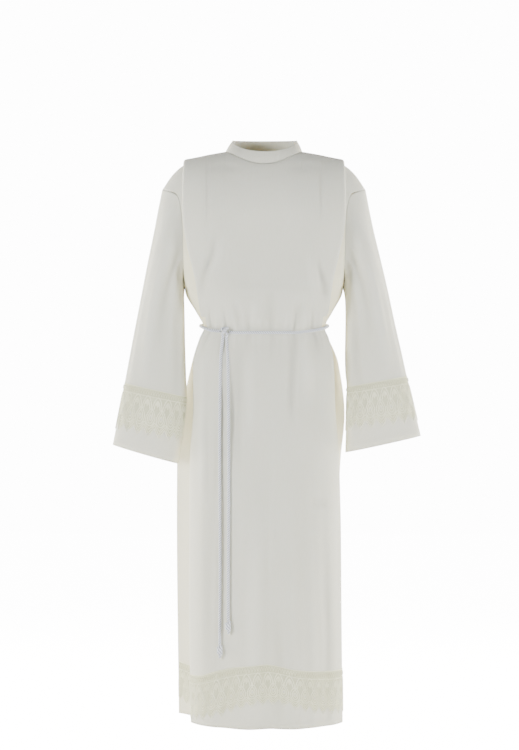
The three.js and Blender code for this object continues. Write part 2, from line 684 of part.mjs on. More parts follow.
const grids = { front: panelGrid(panels.front), back: panelGrid(panels.back) };
const pieces = {
  front: { grid: grids.front, wraps: false, thickness: clothThickness },
  back: { grid: grids.back, wraps: false, thickness: clothThickness },
  sleeve_right: { grid: sleeveGrid(grids, "right"), wraps: true, seams: ["top"], thickness: clothThickness },
  sleeve_left: { grid: sleeveGrid(grids, "left"), wraps: true, seams: ["top"], thickness: clothThickness },
  collar: { grid: collarGrid(grids), wraps: true, seams: ["bottom"], thickness: collarThickness, draw: 0.6 },
};
for (const piece of Object.values(pieces)) piece.normals = gridNormals(piece.grid, piece.wraps);
shareNormals(Object.values(pieces));

// A piece's wall, or the stretch of it between two rows of its grid, drawn back at its seams and at its cuts
function addWall(name, piece, seams, cuts = [], from = 0, to = piece.grid.length - 1) {
  const sewn = drawBack(piece.grid.slice(from, to + 1), seams, piece.draw ?? 0.2);
  const drawn = drawBack(sewn, cuts, cutGap / 2);
  const normals = piece.normals.slice(from, to + 1);
  addPiece(name, wall(drawn, normals, -piece.thickness / 2, piece.thickness / 2, piece), "alb");
}

for (const name of ["front", "back"]) {
  addWall(`${name}_bodice`, pieces[name], ["sides", "top"], ["bottom"], 0, waistCut);
  addWall(`${name}_skirt_upper`, pieces[name], ["sides"], ["top", "bottom"], waistCut, kneeCut);
  addWall(`${name}_skirt_lower`, pieces[name], ["sides"], ["top"], kneeCut);
}
for (const name of ["sleeve_right", "sleeve_left", "collar"]) addWall(name, pieces[name], pieces[name].seams);

for (const name of ["front", "back"]) {
  const count = grids[name][0].length;
  const row = rows.length - 2;
  const topAt = column(hemLaceLine, "top", "place");
  const bottomAt = column(hemLaceLine, "bottom", "place");
  const share = (drop) => (drop - rows[row].drop) / (hemDrop - rows[row].drop);
  const lineAt = (j) => {
    const across = (2 * j) / (count - 1) - 1;
    const place = name === "front" ? across : 1;
    return { row, top: share(topAt(place)), bottom: share(bottomAt(place)) };
  };
  addPiece(`lace_hem_${name}`, laceBand(pieces[name], { from: 0.5, to: count - 1.5, count }, lineAt), "lace");
}

for (const side of ["right", "left"]) {
  const sleeve = pieces[`sleeve_${side}`];
  const count = sleeve.grid[0].length;
  const lineAt = (j) => {
    const towardsInner = (1 - Math.cos((j / count) * 2 * Math.PI)) / 2;
    const bottom = mix(cuffLaceBottom.outer, cuffLaceBottom.inner, towardsInner);
    return { row: sleeve.grid.length - 2, top: 0, bottom };
  };
  const halves = side === "right" ? ["front", "back"] : ["back", "front"];
  halves.forEach((face, n) => {
    const from = (n * count) / 2;
    const band = laceBand(sleeve, { from: from + 0.25, to: from + count / 2 - 0.25, count }, lineAt);
    addPiece(`lace_cuff_${side}_${face}`, band, "lace");
  });
}

// The waist cord runs from one side of the knot round the waist to the other side
const waist = new THREE.CatmullRomCurve3(waistLine(grids), true);
const room = knot.width / 2 + seamGap + 1.3;
const waistSteps = 40;
const pointsInStep = 8;
const round = waist.getSpacedPoints(waistSteps * pointsInStep);
const firstClear = round.findIndex((point) => point.y < 0 && point.x > knot.x + room);
const fromKnot = [...round.slice(firstClear, -1), ...round.slice(0, firstClear)];
const lastClear = fromKnot.findLastIndex((point) => point.y > 0 || point.x < knot.x - room);
const waistRoute = fromKnot.filter((_, i) => i === lastClear || (i < lastClear && i % pointsInStep === 0));
addPiece("waist_cord", cordTube(waistRoute, waistSteps), "cord");
addPiece("waist_knot", barrel(knot.width, knot.depth, knot.height), "cord")
  .position.set(knot.x, knot.y, knot.z);

for (const [name, route, steps] of [["long", longEnd, 32], ["short", shortEnd, 30]]) {
  const points = route.map((point) => new THREE.Vector3(...point));
  const end = points.at(-1);
  addPiece(`cord_end_${name}`, cordTube(points, steps), "cord");
  addPiece(`end_knot_${name}`, barrel(endKnot.width, endKnot.width, endKnot.height), "cord")
    .position.set(end.x, end.y - endKnot.standsOut, end.z - seamGap - endKnot.height / 2);
}

export default alb;
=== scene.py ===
import math

import bpy
import numpy as np
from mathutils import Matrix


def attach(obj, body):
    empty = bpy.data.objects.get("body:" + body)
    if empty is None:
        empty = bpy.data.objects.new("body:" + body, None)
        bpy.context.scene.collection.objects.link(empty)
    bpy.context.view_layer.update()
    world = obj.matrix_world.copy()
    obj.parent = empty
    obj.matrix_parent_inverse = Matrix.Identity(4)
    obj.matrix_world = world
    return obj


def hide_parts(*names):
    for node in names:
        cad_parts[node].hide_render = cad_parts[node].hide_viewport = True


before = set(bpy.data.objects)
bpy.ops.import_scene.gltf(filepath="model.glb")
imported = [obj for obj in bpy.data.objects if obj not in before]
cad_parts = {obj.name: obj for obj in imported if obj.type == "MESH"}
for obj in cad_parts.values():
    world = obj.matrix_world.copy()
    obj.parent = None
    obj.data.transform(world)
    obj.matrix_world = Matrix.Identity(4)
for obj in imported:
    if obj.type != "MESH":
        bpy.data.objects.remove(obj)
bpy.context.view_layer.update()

# The camera: level, five metres in front of the alb and a little to the wearer's right of its middle,
# on a long lens, so that the hem is seen slightly from above.
bpy.ops.object.camera_add(location=(-0.011, -5.0, -0.5375), rotation=(math.radians(90), 0, 0))
camera = bpy.context.object
camera.data.sensor_width = 36
camera.data.lens = 96
bpy.context.scene.camera = camera


# Cincture, free ends: white cotton cord of three strands laid up with a twist, eight millimetres thick.
# The two ends leave the waist knot, lie down the front of the skirt and are each tied off in a wrapped knot.
def srgb(hex_colour):
    channels = [int(hex_colour[i:i + 2], 16) / 255 for i in (1, 3, 5)]
    return [c / 12.92 if c <= 0.04045 else ((c + 0.055) / 1.055) ** 2.4 for c in channels] + [1.0]


def add_node(material, kind, inputs, **settings):
    node = material.node_tree.nodes.new(kind)
    for name, value in settings.items():
        setattr(node, name, value)
    for name, value in inputs.items():
        if isinstance(value, bpy.types.NodeSocket):
            material.node_tree.links.new(value, node.inputs[name])
        else:
            node.inputs[name].default_value = value
    return node


def start_material(name):
    material = bpy.data.materials.new(name)
    material.use_nodes = True
    material.node_tree.nodes.clear()
    return material


def finish_material(material, colour, bump, roughness, sheen, glow=0.0):
    surface = add_node(material, "ShaderNodeBsdfPrincipled", {
        "Base Color": colour, "Normal": bump, "Roughness": roughness, "IOR": 1.5,
        "Sheen Weight": sheen, "Sheen Roughness": 0.4,
    })
    surface.inputs["Specular IOR Level"].default_value = 0.25
    surface.inputs["Subsurface Weight"].default_value = glow
    surface.inputs["Subsurface Radius"].default_value = (0.0035, 0.0032, 0.0028)
    surface.inputs["Subsurface Scale"].default_value = 1.0
    add_node(material, "ShaderNodeOutputMaterial", {"Surface": surface.outputs["BSDF"]})
    return surface


def cotton_cord():
    # Mercerised cotton: cool white with a soft sheen, and fine yarns that run along each strand
    material = start_material("mercerised_cotton_cord")
    along = add_node(material, "ShaderNodeUVMap", {}, uv_map="cloth")
    stretched = add_node(material, "ShaderNodeMapping", {
        "Vector": along.outputs["UV"], "Scale": (90, 1100, 1),
    })
    yarn = add_node(material, "ShaderNodeTexNoise", {
        "Vector": stretched.outputs["Vector"], "Scale": 1, "Detail": 2,
    })
    tone = add_node(material, "ShaderNodeMix", {
        "Factor": yarn.outputs["Fac"], "A": srgb("#E9EDF6"), "B": srgb("#F8FAFF"),
    }, data_type="RGBA")
    # The grooves between strands lie half a strand's width from each strand's crown; painted shade darkens
    # the cord's colour in them
    strand_on_map = 0.008
    split = add_node(material, "ShaderNodeSeparateXYZ", {"Vector": along.outputs["UV"]})
    turned = add_node(material, "ShaderNodeMath", {
        0: split.outputs["Y"], 1: 2 * math.pi / strand_on_map,
    }, operation="MULTIPLY")
    wave = add_node(material, "ShaderNodeMath", {0: turned.outputs[0]}, operation="COSINE")
    open_face = add_node(material, "ShaderNodeMapRange", {
        "Value": wave.outputs[0], "From Min": -1.0, "From Max": 0.5,
    })
    painted_shading_colour = add_node(material, "ShaderNodeMix", {
        "Factor": open_face.outputs["Result"], "A": srgb("#868D9B"), "B": tone.outputs["Result"],
    }, data_type="RGBA")
    relief = add_node(material, "ShaderNodeBump", {
        "Height": yarn.outputs["Fac"], "Strength": 0.5, "Distance": 0.0004,
    })
    finish_material(material, painted_shading_colour.outputs["Result"], relief.outputs["Normal"], 0.62, 0.25)
    return material


def curve_through(points, places, closed=False):
    # A smooth curve through the points of each row, read at places from 0 to 1
    points = np.asarray(points, float)
    count = points.shape[-2]
    if closed:
        padded = np.concatenate([points[..., -1:, :], points, points[..., :3, :]], axis=-2)
        at = np.asarray(places) * count
        first = np.clip(np.floor(at).astype(int), 0, count)
    else:
        before = 2 * points[..., :1, :] - points[..., 1:2, :]
        after = 2 * points[..., -1:, :] - points[..., -2:-1, :]
        padded = np.concatenate([before, points, after], axis=-2)
        at = np.asarray(places) * (count - 1)
        first = np.clip(np.floor(at).astype(int), 0, count - 2)
    share = (at - first)[:, None]
    p0, p1, p2, p3 = (padded[..., first + k, :] for k in range(4))
    gap = [np.maximum(np.linalg.norm(b - a, axis=-1, keepdims=True) ** 0.5, 1e-3)
           for a, b in ((p0, p1), (p1, p2), (p2, p3))]
    start = ((p1 - p0) / gap[0] - (p2 - p0) / (gap[0] + gap[1]) + (p2 - p1) / gap[1]) * gap[1]
    end = ((p2 - p1) / gap[1] - (p3 - p1) / (gap[1] + gap[2]) + (p3 - p2) / gap[2]) * gap[1]
    bend = 3 * (p2 - p1) - 2 * start - end
    return p1 + share * (start + share * (bend + share * (start + end - 2 * (p2 - p1))))


def unit(vectors):
    return vectors / np.maximum(np.linalg.norm(vectors, axis=-1, keepdims=True), 1e-9)


def make_piece(name, points, faces, uvs, material):
    # Points are in millimetres; uvs are one pair for each corner of each face, in metres
    mesh = bpy.data.meshes.new(name)
    mesh.from_pydata((np.asarray(points) / 1000).tolist(), [], [list(map(int, face)) for face in faces])
    mesh.uv_layers.new(name="cloth").data.foreach_set("uv", np.asarray(uvs, float).ravel())
    mesh.materials.append(material)
    piece = bpy.data.objects.new(name, mesh)
    bpy.context.collection.objects.link(piece)
    bpy.ops.object.select_all(action="DESELECT")
    piece.select_set(True)
    bpy.context.view_layer.objects.active = piece
    bpy.ops.object.shade_smooth_by_angle(angle=math.radians(60))
    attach(piece, "root")
    return piece


def evenly(route, spacing, closed=False):
    fine = curve_through(route, np.linspace(0, 1, 60 * len(route)), closed)
    length = np.concatenate([[0], np.cumsum(np.linalg.norm(np.diff(fine, axis=0), axis=1))])
    wanted = np.linspace(0, length[-1], max(round(length[-1] / spacing), 2) + 1)
    return np.stack([np.interp(wanted, length, fine[:, k]) for k in range(3)], axis=1), wanted


def twisted_cord(name, route, thickness=8.0, lay=17.0, closed=False):
    # Three strands, each a little over half the cord's thickness, turned once round in every lay
    path, along = evenly(route, 1.5, closed)
    tangent = unit(np.gradient(path, axis=0))
    side = np.zeros_like(tangent)
    side[0] = unit(np.cross(tangent[0], (0.3, 0.9, 0.3)))
    for i in range(1, len(path)):
        side[i] = unit(side[i - 1] - tangent[i] * np.dot(side[i - 1], tangent[i]))
    other = np.cross(tangent, side)
    around = 24
    turn = np.arange(around) / around * 2 * np.pi
    in_strand = (turn + np.pi / 3) % (2 * np.pi / 3) - np.pi / 3
    strand, centre = 0.52, 0.48
    reach = centre * np.cos(in_strand) + np.sqrt(strand ** 2 - (centre * np.sin(in_strand)) ** 2)
    angle = turn[None, :] + (along / lay * 2 * np.pi)[:, None]
    rings = (np.cos(angle)[..., None] * side[:, None] + np.sin(angle)[..., None] * other[:, None])
    points = (path[:, None] + rings * (reach * thickness / 2)[None, :, None]).reshape(-1, 3)
    faces, uvs = [], []
    for i in range(len(path) - 1):
        for j in range(around):
            nxt = (j + 1) % around
            faces.append((i * around + j, i * around + nxt, (i + 1) * around + nxt, (i + 1) * around + j))
            across = (j * 0.001, (j + 1) * 0.001)
            down = (along[i] / 1000, along[i + 1] / 1000)
            uvs += [(down[0], across[0]), (down[0], across[1]), (down[1], across[1]), (down[1], across[0])]
    for end, order in ((0, -1), (len(path) - 1, 1)):
        ring = [end * around + j for j in range(around)][::order]
        faces.append(ring)
        uvs += [(0.0, 0.0)] * around
    return make_piece(name, points, faces, uvs, cord_material)


def wrapped_knot(name, middle, width, height, wraps, tails, thickness=7.2, lay=20.0):
    # One cord wound up round itself, its two tails coming out through the middle
    turns = np.linspace(0, 2 * np.pi * wraps, 14 * wraps)
    reach = (width - thickness) / 2
    climb = np.linspace(height / 2 - thickness / 2, -height / 2 + thickness / 2, len(turns))
    coil = np.stack([reach * np.cos(turns), reach * np.sin(turns), climb], axis=1)
    above, below = tails
    start = np.array([[0, 0, height / 2 + above], [reach * 0.35, 0, height / 2 - 1]])
    end = np.array([[reach * 0.35, 0, -height / 2 + 1], [0, 0, -height / 2 - below]])
    return twisted_cord(name, np.concatenate([start, coil, end]) + np.asarray(middle), thickness, lay)


cord_material = cotton_cord()
long_end_route = [
    (-100.3, -108.6, -442.9), (-101.3, -108.9, -452), (-103.3, -109.4, -467), (-105.3, -111.5, -487),
    (-106.4, -115.2, -512), (-107, -116.6, -545), (-107.4, -118.8, -590), (-107.8, -120.9, -640),
    (-108, -122.8, -700), (-108, -124.6, -760), (-107.7, -126.1, -820), (-107.3, -126.9, -885),
    (-107, -128, -950), (-107, -128.8, -1015), (-107.2, -129.5, -1080), (-107.6, -130.1, -1140),
    (-108, -130.7, -1195),
]
short_end_route = [
    (-91.7, -108.6, -443), (-90.8, -109.4, -452), (-89.4, -111.6, -467), (-88.4, -116, -487),
    (-87.8, -121.1, -512), (-87.4, -123.5, -545), (-87, -126.6, -590), (-86.6, -130.2, -640),
    (-86.2, -132.5, -700), (-86, -134.7, -760), (-86, -136.4, -820), (-86.3, -137.4, -885),
    (-86.7, -138.6, -950), (-87, -139.5, -1015), (-87.2, -140.4, -1080), (-87.2, -141.4, -1135),
]
for name, route in (("long", long_end_route), ("short", short_end_route)):
    end = twisted_cord(f"cincture_end_{name}", route)
    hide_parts(f"cord_end_{name}")
    x, y, z = route[-1]
    knot = wrapped_knot(f"cincture_end_knot_{name}", (x, y - 3, z - 12.3), 15, 24, 3, (0.5, 7))
    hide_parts(f"end_knot_{name}")


# Alb, front panel: one width of fine ivory polyester and cotton cloth from the shoulder to the hem.
# A wide pleat falls from each shoulder outside the stitched line and runs on as the folded edge of the skirt.
# The cloth hangs from the shoulders, is drawn in by the cord and falls in long soft folds below it.
def ivory_cloth():
    # Plain weave, ivory and matt; the threads are drawn coarser than life so that they show,
    # with the slight slubs and unevenness of a mixed yarn
    material = start_material("ivory_plain_weave")
    grain = add_node(material, "ShaderNodeUVMap", {}, uv_map="cloth")
    thread_spacing = 0.0016
    thread_turns = 2 * math.pi / thread_spacing
    threads = add_node(material, "ShaderNodeVectorMath", {0: grain.outputs["UV"], 1: (thread_turns,) * 3},
                       operation="MULTIPLY")
    split = add_node(material, "ShaderNodeSeparateXYZ", {"Vector": threads.outputs["Vector"]})
    warp = add_node(material, "ShaderNodeMath", {0: split.outputs["X"]}, operation="SINE")
    weft = add_node(material, "ShaderNodeMath", {0: split.outputs["Y"]}, operation="SINE")
    weave = add_node(material, "ShaderNodeMath", {
        0: warp.outputs[0], 1: weft.outputs[0],
    }, operation="MULTIPLY")
    slub_grain = add_node(material, "ShaderNodeMapping", {
        "Vector": grain.outputs["UV"], "Scale": (420, 60, 1),
    })
    slubs = add_node(material, "ShaderNodeTexNoise", {"Vector": slub_grain.outputs["Vector"], "Scale": 1,
                                                      "Detail": 3, "Roughness": 0.6})
    pressed = add_node(material, "ShaderNodeTexNoise", {
        "Vector": grain.outputs["UV"], "Scale": 9, "Detail": 3,
    })
    height = add_node(material, "ShaderNodeMath", {0: slubs.outputs["Fac"], 1: 0.6, 2: weave.outputs[0]},
                      operation="MULTIPLY_ADD")
    tone = add_node(material, "ShaderNodeMix", {
        "Factor": pressed.outputs["Fac"], "A": srgb("#E1E1D4"), "B": srgb("#E9E9DE"),
    }, data_type="RGBA")
    flecked = add_node(material, "ShaderNodeMix", {
        "Factor": slubs.outputs["Fac"], "A": srgb("#DADACA"), "B": tone.outputs["Result"],
    }, data_type="RGBA")
    relief = add_node(material, "ShaderNodeBump", {
        "Height": height.outputs[0], "Strength": 0.3, "Distance": 0.0003,
    })
    # Painted shade darkens pressed-in folds and a painted highlight makes raised ones a little paler; a
    # single thickness, with nothing behind it, is given a warmer, paler colour as painted light, standing in
    # for light shining through it
    fold = add_node(material, "ShaderNodeAttribute", {}, attribute_name="fold")
    # Painted shade and painted highlight: the cloth's colour is scaled from 0.84 in pressed-in folds to 1.05
    # on raised ones
    strength = add_node(material, "ShaderNodeMapRange", {
        "Value": fold.outputs["Fac"], "From Min": -1.0, "From Max": 1.0, "To Min": 0.84, "To Max": 1.05,
    })
    painted_shading_colour = add_node(material, "ShaderNodeVectorMath", {
        0: flecked.outputs["Result"], "Scale": strength.outputs["Result"],
    }, operation="SCALE")
    single = add_node(material, "ShaderNodeAttribute", {}, attribute_name="single")
    # Painted light: a warm, pale colour mixed in on the single cloth, standing in for light shining through
    # it
    with_painted_backlight = add_node(material, "ShaderNodeMix", {
        "Factor": single.outputs["Fac"], "A": painted_shading_colour.outputs["Vector"], "B": srgb("#FCF4D3"),
    }, data_type="RGBA")
    finish_material(material, with_painted_backlight.outputs["Result"], relief.outputs["Normal"], 0.85, 0.15, 0.5)
    return material


def smooth(value, low, high):
    share = np.clip((value - low) / (high - low), 0, 1)
    return share * share * (3 - 2 * share)


def mix(a, b, share):
    return a + (b - a) * share


def along_column(table, index):
    # A smooth curve through one column of a table, by its first, with no overshoot between its rows
    at = np.array([row[0] for row in table], float)
    value = np.array([row[index] for row in table], float)
    slope = np.diff(value) / np.diff(at)
    before = np.concatenate([slope[:1], slope])
    after = np.concatenate([slope, slope[-1:]])
    product = before * after
    tangent = np.where(product > 0, 2 * product / np.where(product > 0, before + after, 1), 0)

    def read(place):
        x = np.clip(place, at[0], at[-1])
        i = np.clip(np.searchsorted(at, x, side="right") - 1, 0, len(at) - 2)
        span = at[i + 1] - at[i]
        t = (x - at[i]) / span
        rise = t * t * (3 - 2 * t)
        bend = t * (1 - t) * span * ((1 - t) * tangent[i] - t * tangent[i + 1])
        return mix(value[i], value[i + 1], rise) + bend
    return read


right_angle = math.pi / 2
ridge_y, shoulder_roll, underarm, hem_drop = 5, 175, 325, 1397
neck_half_width = 95
# From the neck outwards: place, height of the shoulder, and how far chest and back stand out from it
shoulder_line = [
    (0, 24, 130, 118), (60, 24, 128, 117), (95, 20, 123, 114), (141, 0, 112, 106), (170, -6, 98, 96),
    (197, -12, 81, 84), (215, -24, 72, 74), (230, -40, 65, 66), (254, -75, 56, 56),
]
# Armholes and side seams: drop below the neck, half width left and right, and how far back the seam lies
seam_levels = [
    (0, 254, 254, 5), (9, 249, 249, 5), (33, 236, 236, 5), (72, 213, 213, 5), (121, 203, 203, 5),
    (175, 200, 200, 5), (325, 197, 197, 5), (380, 171, 169, 5), (410, 154, 152, 7), (425, 149, 147, 8),
    (450, 163, 162, 10), (510, 187, 181, 22), (640, 204, 208, 55), (757, 194, 220, 75), (900, 188, 221, 82),
    (1397, 188, 216, 87),
]
# A panel at each drop: centre line, folded edge left and right, tuck behind it, its inner fold, layer gap
front_levels = [
    (0, -125, 197, 197, 56, -20, 6), (121, -125, 196, 196, 55, -20, 6), (175, -125, 190, 190, 50, -20, 6),
    (325, -129, 160, 159, 40, -20, 6), (405, -121, 148, 146, 30, -20, 5), (425, -112, 144, 142, 28, -20, 5),
    (450, -117, 154, 153, 27, -18, 5), (510, -128, 167, 170, 25, -14, 6), (640, -138, 178, 176, 24, -5, 6),
    (757, -143, 187, 184, 26, 0, 6), (1100, -149, 193, 186, 26, 6, 6), (1397, -153, 196, 182, 24, 10, 6),
]
# Long folds: place across the panel, the drops where each starts and is full, half width, depth
front_folds = [
    (0.08, 560, 900, 0.17, -10), (-0.24, 520, 1000, 0.18, 7), (-0.55, 480, 900, 0.16, -6),
    (0.42, 600, 1150, 0.2, 7), (0.78, 700, 1200, 0.12, -5),
]


def panel_of(facing, neck_reach, levels, folds, stands_out, turn_y, turn_room, under_share):
    read = {key: along_column(levels, k) for k, key in enumerate(
        ("centre", "left", "right", "tuck", "root_y", "layer"), start=1)}
    return {"facing": facing, "neck_reach": neck_reach, "folds": folds, "turn_y": turn_y,
            "turn_room": turn_room, "under_share": under_share,
            "reach": along_column(shoulder_line, stands_out), **read}


ridge = along_column(shoulder_line, 1)
seam_half = {"left": along_column(seam_levels, 1), "right": along_column(seam_levels, 2)}
seam_y = along_column(seam_levels, 3)


def section_y(centre, turn_y, half_width, x):
    share = np.maximum(1 - np.minimum(x / half_width, 1) ** 2.3, 0)
    return turn_y + (centre - turn_y) * share ** (1 / 2.3)


def form_points(panel, side, x, neck_angle, angle, drop):
    turned = mix(neck_angle, right_angle, angle / right_angle)
    fallen = max(drop - shoulder_roll, 0)
    share = min(fallen / (underarm - shoulder_roll), 1)
    shoulder_y = ridge_y + panel["facing"] * panel["reach"](x) * np.sin(turned)
    shoulder_z = ridge(x) - shoulder_roll * (1 - np.cos(turned)) - fallen
    body_y = section_y(panel["centre"](drop), seam_y(drop), seam_half[side](drop), x)
    settled = 1 - math.sqrt(1 - share * share)
    y = mix(shoulder_y, body_y, settled)
    return np.stack([x, y, mix(shoulder_z, -drop, smooth(share, 0, 1))], axis=-1)


def lifted_points(panel, side, x, neck_angle, angle, drop, lift):
    inward = np.maximum(x - 1, 0)
    here = form_points(panel, side, x, neck_angle, angle, drop)
    across = (form_points(panel, side, inward + 1, neck_angle, angle, drop)
              - form_points(panel, side, inward, neck_angle, angle, drop))
    below = (angle + 0.02, drop) if drop < shoulder_roll else (angle, drop + 1)
    normal = unit(np.cross(across, form_points(panel, side, x, neck_angle, *below) - here))
    wrong = normal[:, 1] * panel["facing"] + np.maximum(normal[:, 2], 0) < 0
    return here + np.where(wrong[:, None], -normal, normal) * lift[:, None]


def bodice_half_row(panel, side, angle, drop):
    edge, layer = panel[side](drop), panel["layer"](drop)
    root, bend, seam = edge - panel["tuck"](drop), layer / 2, seam_half[side](drop)
    neck = min(neck_half_width, 0.62 * edge)
    settled = min(max(drop / shoulder_roll, 0), 1)
    share = np.arange(7) / 6
    rounded = np.sin(share * right_angle)
    neck_x = neck * mix(rounded, share, settled)
    neck_angle = np.arcsin(panel["neck_reach"] * np.cos(share * right_angle)
                           / panel["reach"](neck_half_width * rounded))
    slope_x = mix(neck, root, np.array([0.5, 1]))
    spread = smooth(drop, 40, 200)
    neck_lift = 2 * layer * smooth(neck_x, 0.3 * neck, root) * spread
    slope_lift = 2 * layer * mix(smooth(slope_x, neck, root), smooth(slope_x, 0.3 * neck, root), spread)
    pleat_x = mix(root, edge - bend, np.array([1, 2, 3]) / 3)
    return_x = mix(edge - bend, root + bend, np.array([0, 0.5, 1]))
    under = np.arange(5) / 4
    turned = smooth(drop, 100, 250)
    under_x = mix(root + bend, seam, mix(under, np.sin(under * right_angle), turned))
    x = np.concatenate([neck_x, slope_x, pleat_x, [edge], return_x, [root], under_x])
    lift = np.concatenate([neck_lift, slope_lift, np.full(3, 2 * layer),
                           [1.5 * layer], np.full(3, layer), [0.5 * layer], np.zeros(5)])
    neck_angles = np.concatenate([neck_angle, np.zeros(len(x) - 7)])
    return lifted_points(panel, side, x, neck_angles, angle, drop, lift)


def skirt_half_row(panel, side, drop):
    edge, centre = panel[side](drop), panel["centre"](drop)
    root, root_y = edge - panel["tuck"](drop), panel["root_y"](drop)
    seam, back = seam_half[side](drop), seam_y(drop)
    half = edge + panel["turn_room"]
    x = edge * np.arange(12) / 12
    top = np.stack([x, section_y(centre, panel["turn_y"], half, x), np.full(12, -drop)], axis=1)
    turn = np.array([
        top[-1], (edge, section_y(centre, panel["turn_y"], half, edge), -drop), (root, root_y, -drop),
        (mix(root, seam, 0.55), mix(root_y, back, panel["under_share"]), -drop), (seam, back, -drop),
    ])
    shares = [0.25, 0.3, 0.375, 0.45, 0.5, 0.55, 0.65, 0.75, 0.875, 1]
    return np.concatenate([top, curve_through(turn, shares)])


def spread_evenly(points, share):
    fine = curve_through(points, np.linspace(0, 1, 8 * (len(points) - 1) + 1))
    length = np.concatenate([[0], np.cumsum(np.linalg.norm(np.diff(fine, axis=0), axis=1))])
    wanted = mix(length[::8], np.linspace(0, length[-1], len(points)), share)
    return np.stack([np.interp(wanted, length, fine[:, k]) for k in range(3)], axis=1)


def half_row(panel, side, angle, drop):
    points = mix(bodice_half_row(panel, side, angle, drop), skirt_half_row(panel, side, drop),
                 smooth(drop, 425, 640))
    evenness = smooth(drop, 600, 1225)
    if evenness > 0:
        points = spread_evenly(points, evenness)
    place = (1 if side == "left" else -1) * points[:12, 0] / points[12, 0]
    near_edge = 1 - smooth(np.abs(place), 0.82, 1)
    for middle, start, full, width, depth in panel["folds"]:
        away = np.clip(np.abs(place - middle) / width, 0, 1)
        shown = smooth(drop, start, full) * (1 - smooth(away, 0, 1)) * near_edge
        points[:12, 1] += panel["facing"] * depth * shown
    return points


def panel_grid(panel, rows):
    grid = []
    for angle, drop in rows:
        right, left = half_row(panel, "right", angle, drop), half_row(panel, "left", angle, drop)
        right[:, 0] *= -1
        across = np.concatenate([right[::-1], left[1:]])
        grid.append(across if panel["facing"] < 0 else across[::-1])
    return np.array(grid)


def roll_rows(degrees):
    return [(math.radians(d), shoulder_roll * (1 - math.cos(math.radians(d)))) for d in degrees]


def normals_of(grid, wraps=False):
    if wraps:
        across = unit(grid - np.roll(grid, 1, axis=1)) + unit(np.roll(grid, -1, axis=1) - grid)
    else:
        ahead = np.concatenate([grid[:, 1:], 2 * grid[:, -1:] - grid[:, -2:-1]], axis=1)
        behind = np.concatenate([2 * grid[:, :1] - grid[:, 1:2], grid[:, :-1]], axis=1)
        across = unit(grid - behind) + unit(ahead - grid)
    return unit(np.cross(np.gradient(grid, axis=0), across))


def trough(offset, width):
    return (1 - np.clip(np.abs(offset) / width, 0, 1) ** 2) ** 2


def crease(grid, normals, line, width, depth, shown):
    # Sinks or lifts the cloth along a line of (x, z) points, softly at its ends and sides
    line = np.asarray(line, float)
    start, step = line[:-1], np.diff(line, axis=0)
    length = np.linalg.norm(step, axis=1)
    total = np.concatenate([[0], np.cumsum(length)])
    flat = grid[..., [0, 2]][..., None, :] - start
    share = np.clip((flat * step).sum(-1) / length ** 2, 0, 1)
    away = np.linalg.norm(flat - share[..., None] * step, axis=-1)
    nearest = away.argmin(-1)
    distance = np.take_along_axis(away, nearest[..., None], -1)[..., 0]
    travelled = (np.take_along_axis(share, nearest[..., None], -1)[..., 0] * length[nearest] + total[nearest])
    ends = np.sin(np.clip(travelled / total[-1], 0.02, 0.98) * np.pi) ** 0.6
    return normals * (depth * trough(distance, width) * ends * shown)[..., None]


def cloth_piece(name, grid, thickness, wraps=False, **marks):
    # Each mark is a value from -1 to 1 for every point of the grid, kept as an attribute of the mesh
    rows, columns = grid.shape[:2]
    closed = np.concatenate([grid, grid[:, :1]], axis=1) if wraps else grid
    steps_down = np.linalg.norm(np.diff(grid, axis=0), axis=2).mean(axis=1)
    steps_across = np.linalg.norm(np.diff(closed, axis=1), axis=2).mean(axis=0)
    down, across = (np.concatenate([[0], np.cumsum(steps)]) / 1000 for steps in (steps_down, steps_across))
    i, j = np.meshgrid(np.arange(rows - 1), np.arange(columns if wraps else columns - 1), indexing="ij")
    nxt = (j + 1) % columns
    here, below = i * columns, (i + 1) * columns
    faces = np.stack([here + j, below + j, below + nxt, here + nxt], axis=-1)
    left, right, top, foot = across[j], across[j + 1], -down[i], -down[i + 1]
    corners = [(left, top), (left, foot), (right, foot), (right, top)]
    uvs = np.stack([np.stack(corner, axis=-1) for corner in corners], axis=-2)
    piece = make_piece(name, grid.reshape(-1, 3), faces.reshape(-1, 4), uvs.reshape(-1, 2),
                       cloth_material)
    for mark, values in marks.items():
        attribute = piece.data.attributes.new(mark, "FLOAT", "POINT")
        attribute.data.foreach_set("value", np.clip(values, -1, 1).ravel())
    shell = piece.modifiers.new("thickness", "SOLIDIFY")
    shell.thickness = thickness / 1000
    shell.offset = 0
    bpy.ops.object.modifier_apply(modifier=shell.name)
    return piece


def refine_across(grid, finer, closed=False):
    count = grid.shape[1] * finer if closed else (grid.shape[1] - 1) * finer + 1
    return curve_through(grid, np.arange(count) / (count if closed else count - 1), closed)


def inset_edges(grid, distance, sides=True, top=True):
    # Draws the seamed edges back by so much, so that the seam reads as a fine line
    if sides:
        grid[:, 0] += unit(grid[:, 1] - grid[:, 0]) * distance
        grid[:, -1] += unit(grid[:, -2] - grid[:, -1]) * distance
    if top:
        grid[0] += unit(grid[1] - grid[0]) * distance
    return grid


def waist_gathers(grid, normals, places):
    # Small uneven pleats where the cord draws the cloth in: each fades out above and below the belt
    share = np.linspace(-1, 1, grid.shape[1])
    drop = -grid[..., 2]
    moved = np.zeros(grid.shape[:2])
    for middle, width, depth, above, below, lean in places:
        reach = np.where(drop < 420, 1 - smooth(420 - drop, 8, above), 1 - smooth(drop - 420, 10, below))
        at = middle + lean * (drop - 420) / 1000
        moved += depth * trough(share[None, :] - at, width * (1 + np.abs(drop - 420) / 160)) * reach
    return normals * moved[..., None]


def moved_along(grid, before, normals, full):
    return ((grid - before) * normals).sum(-1) / full


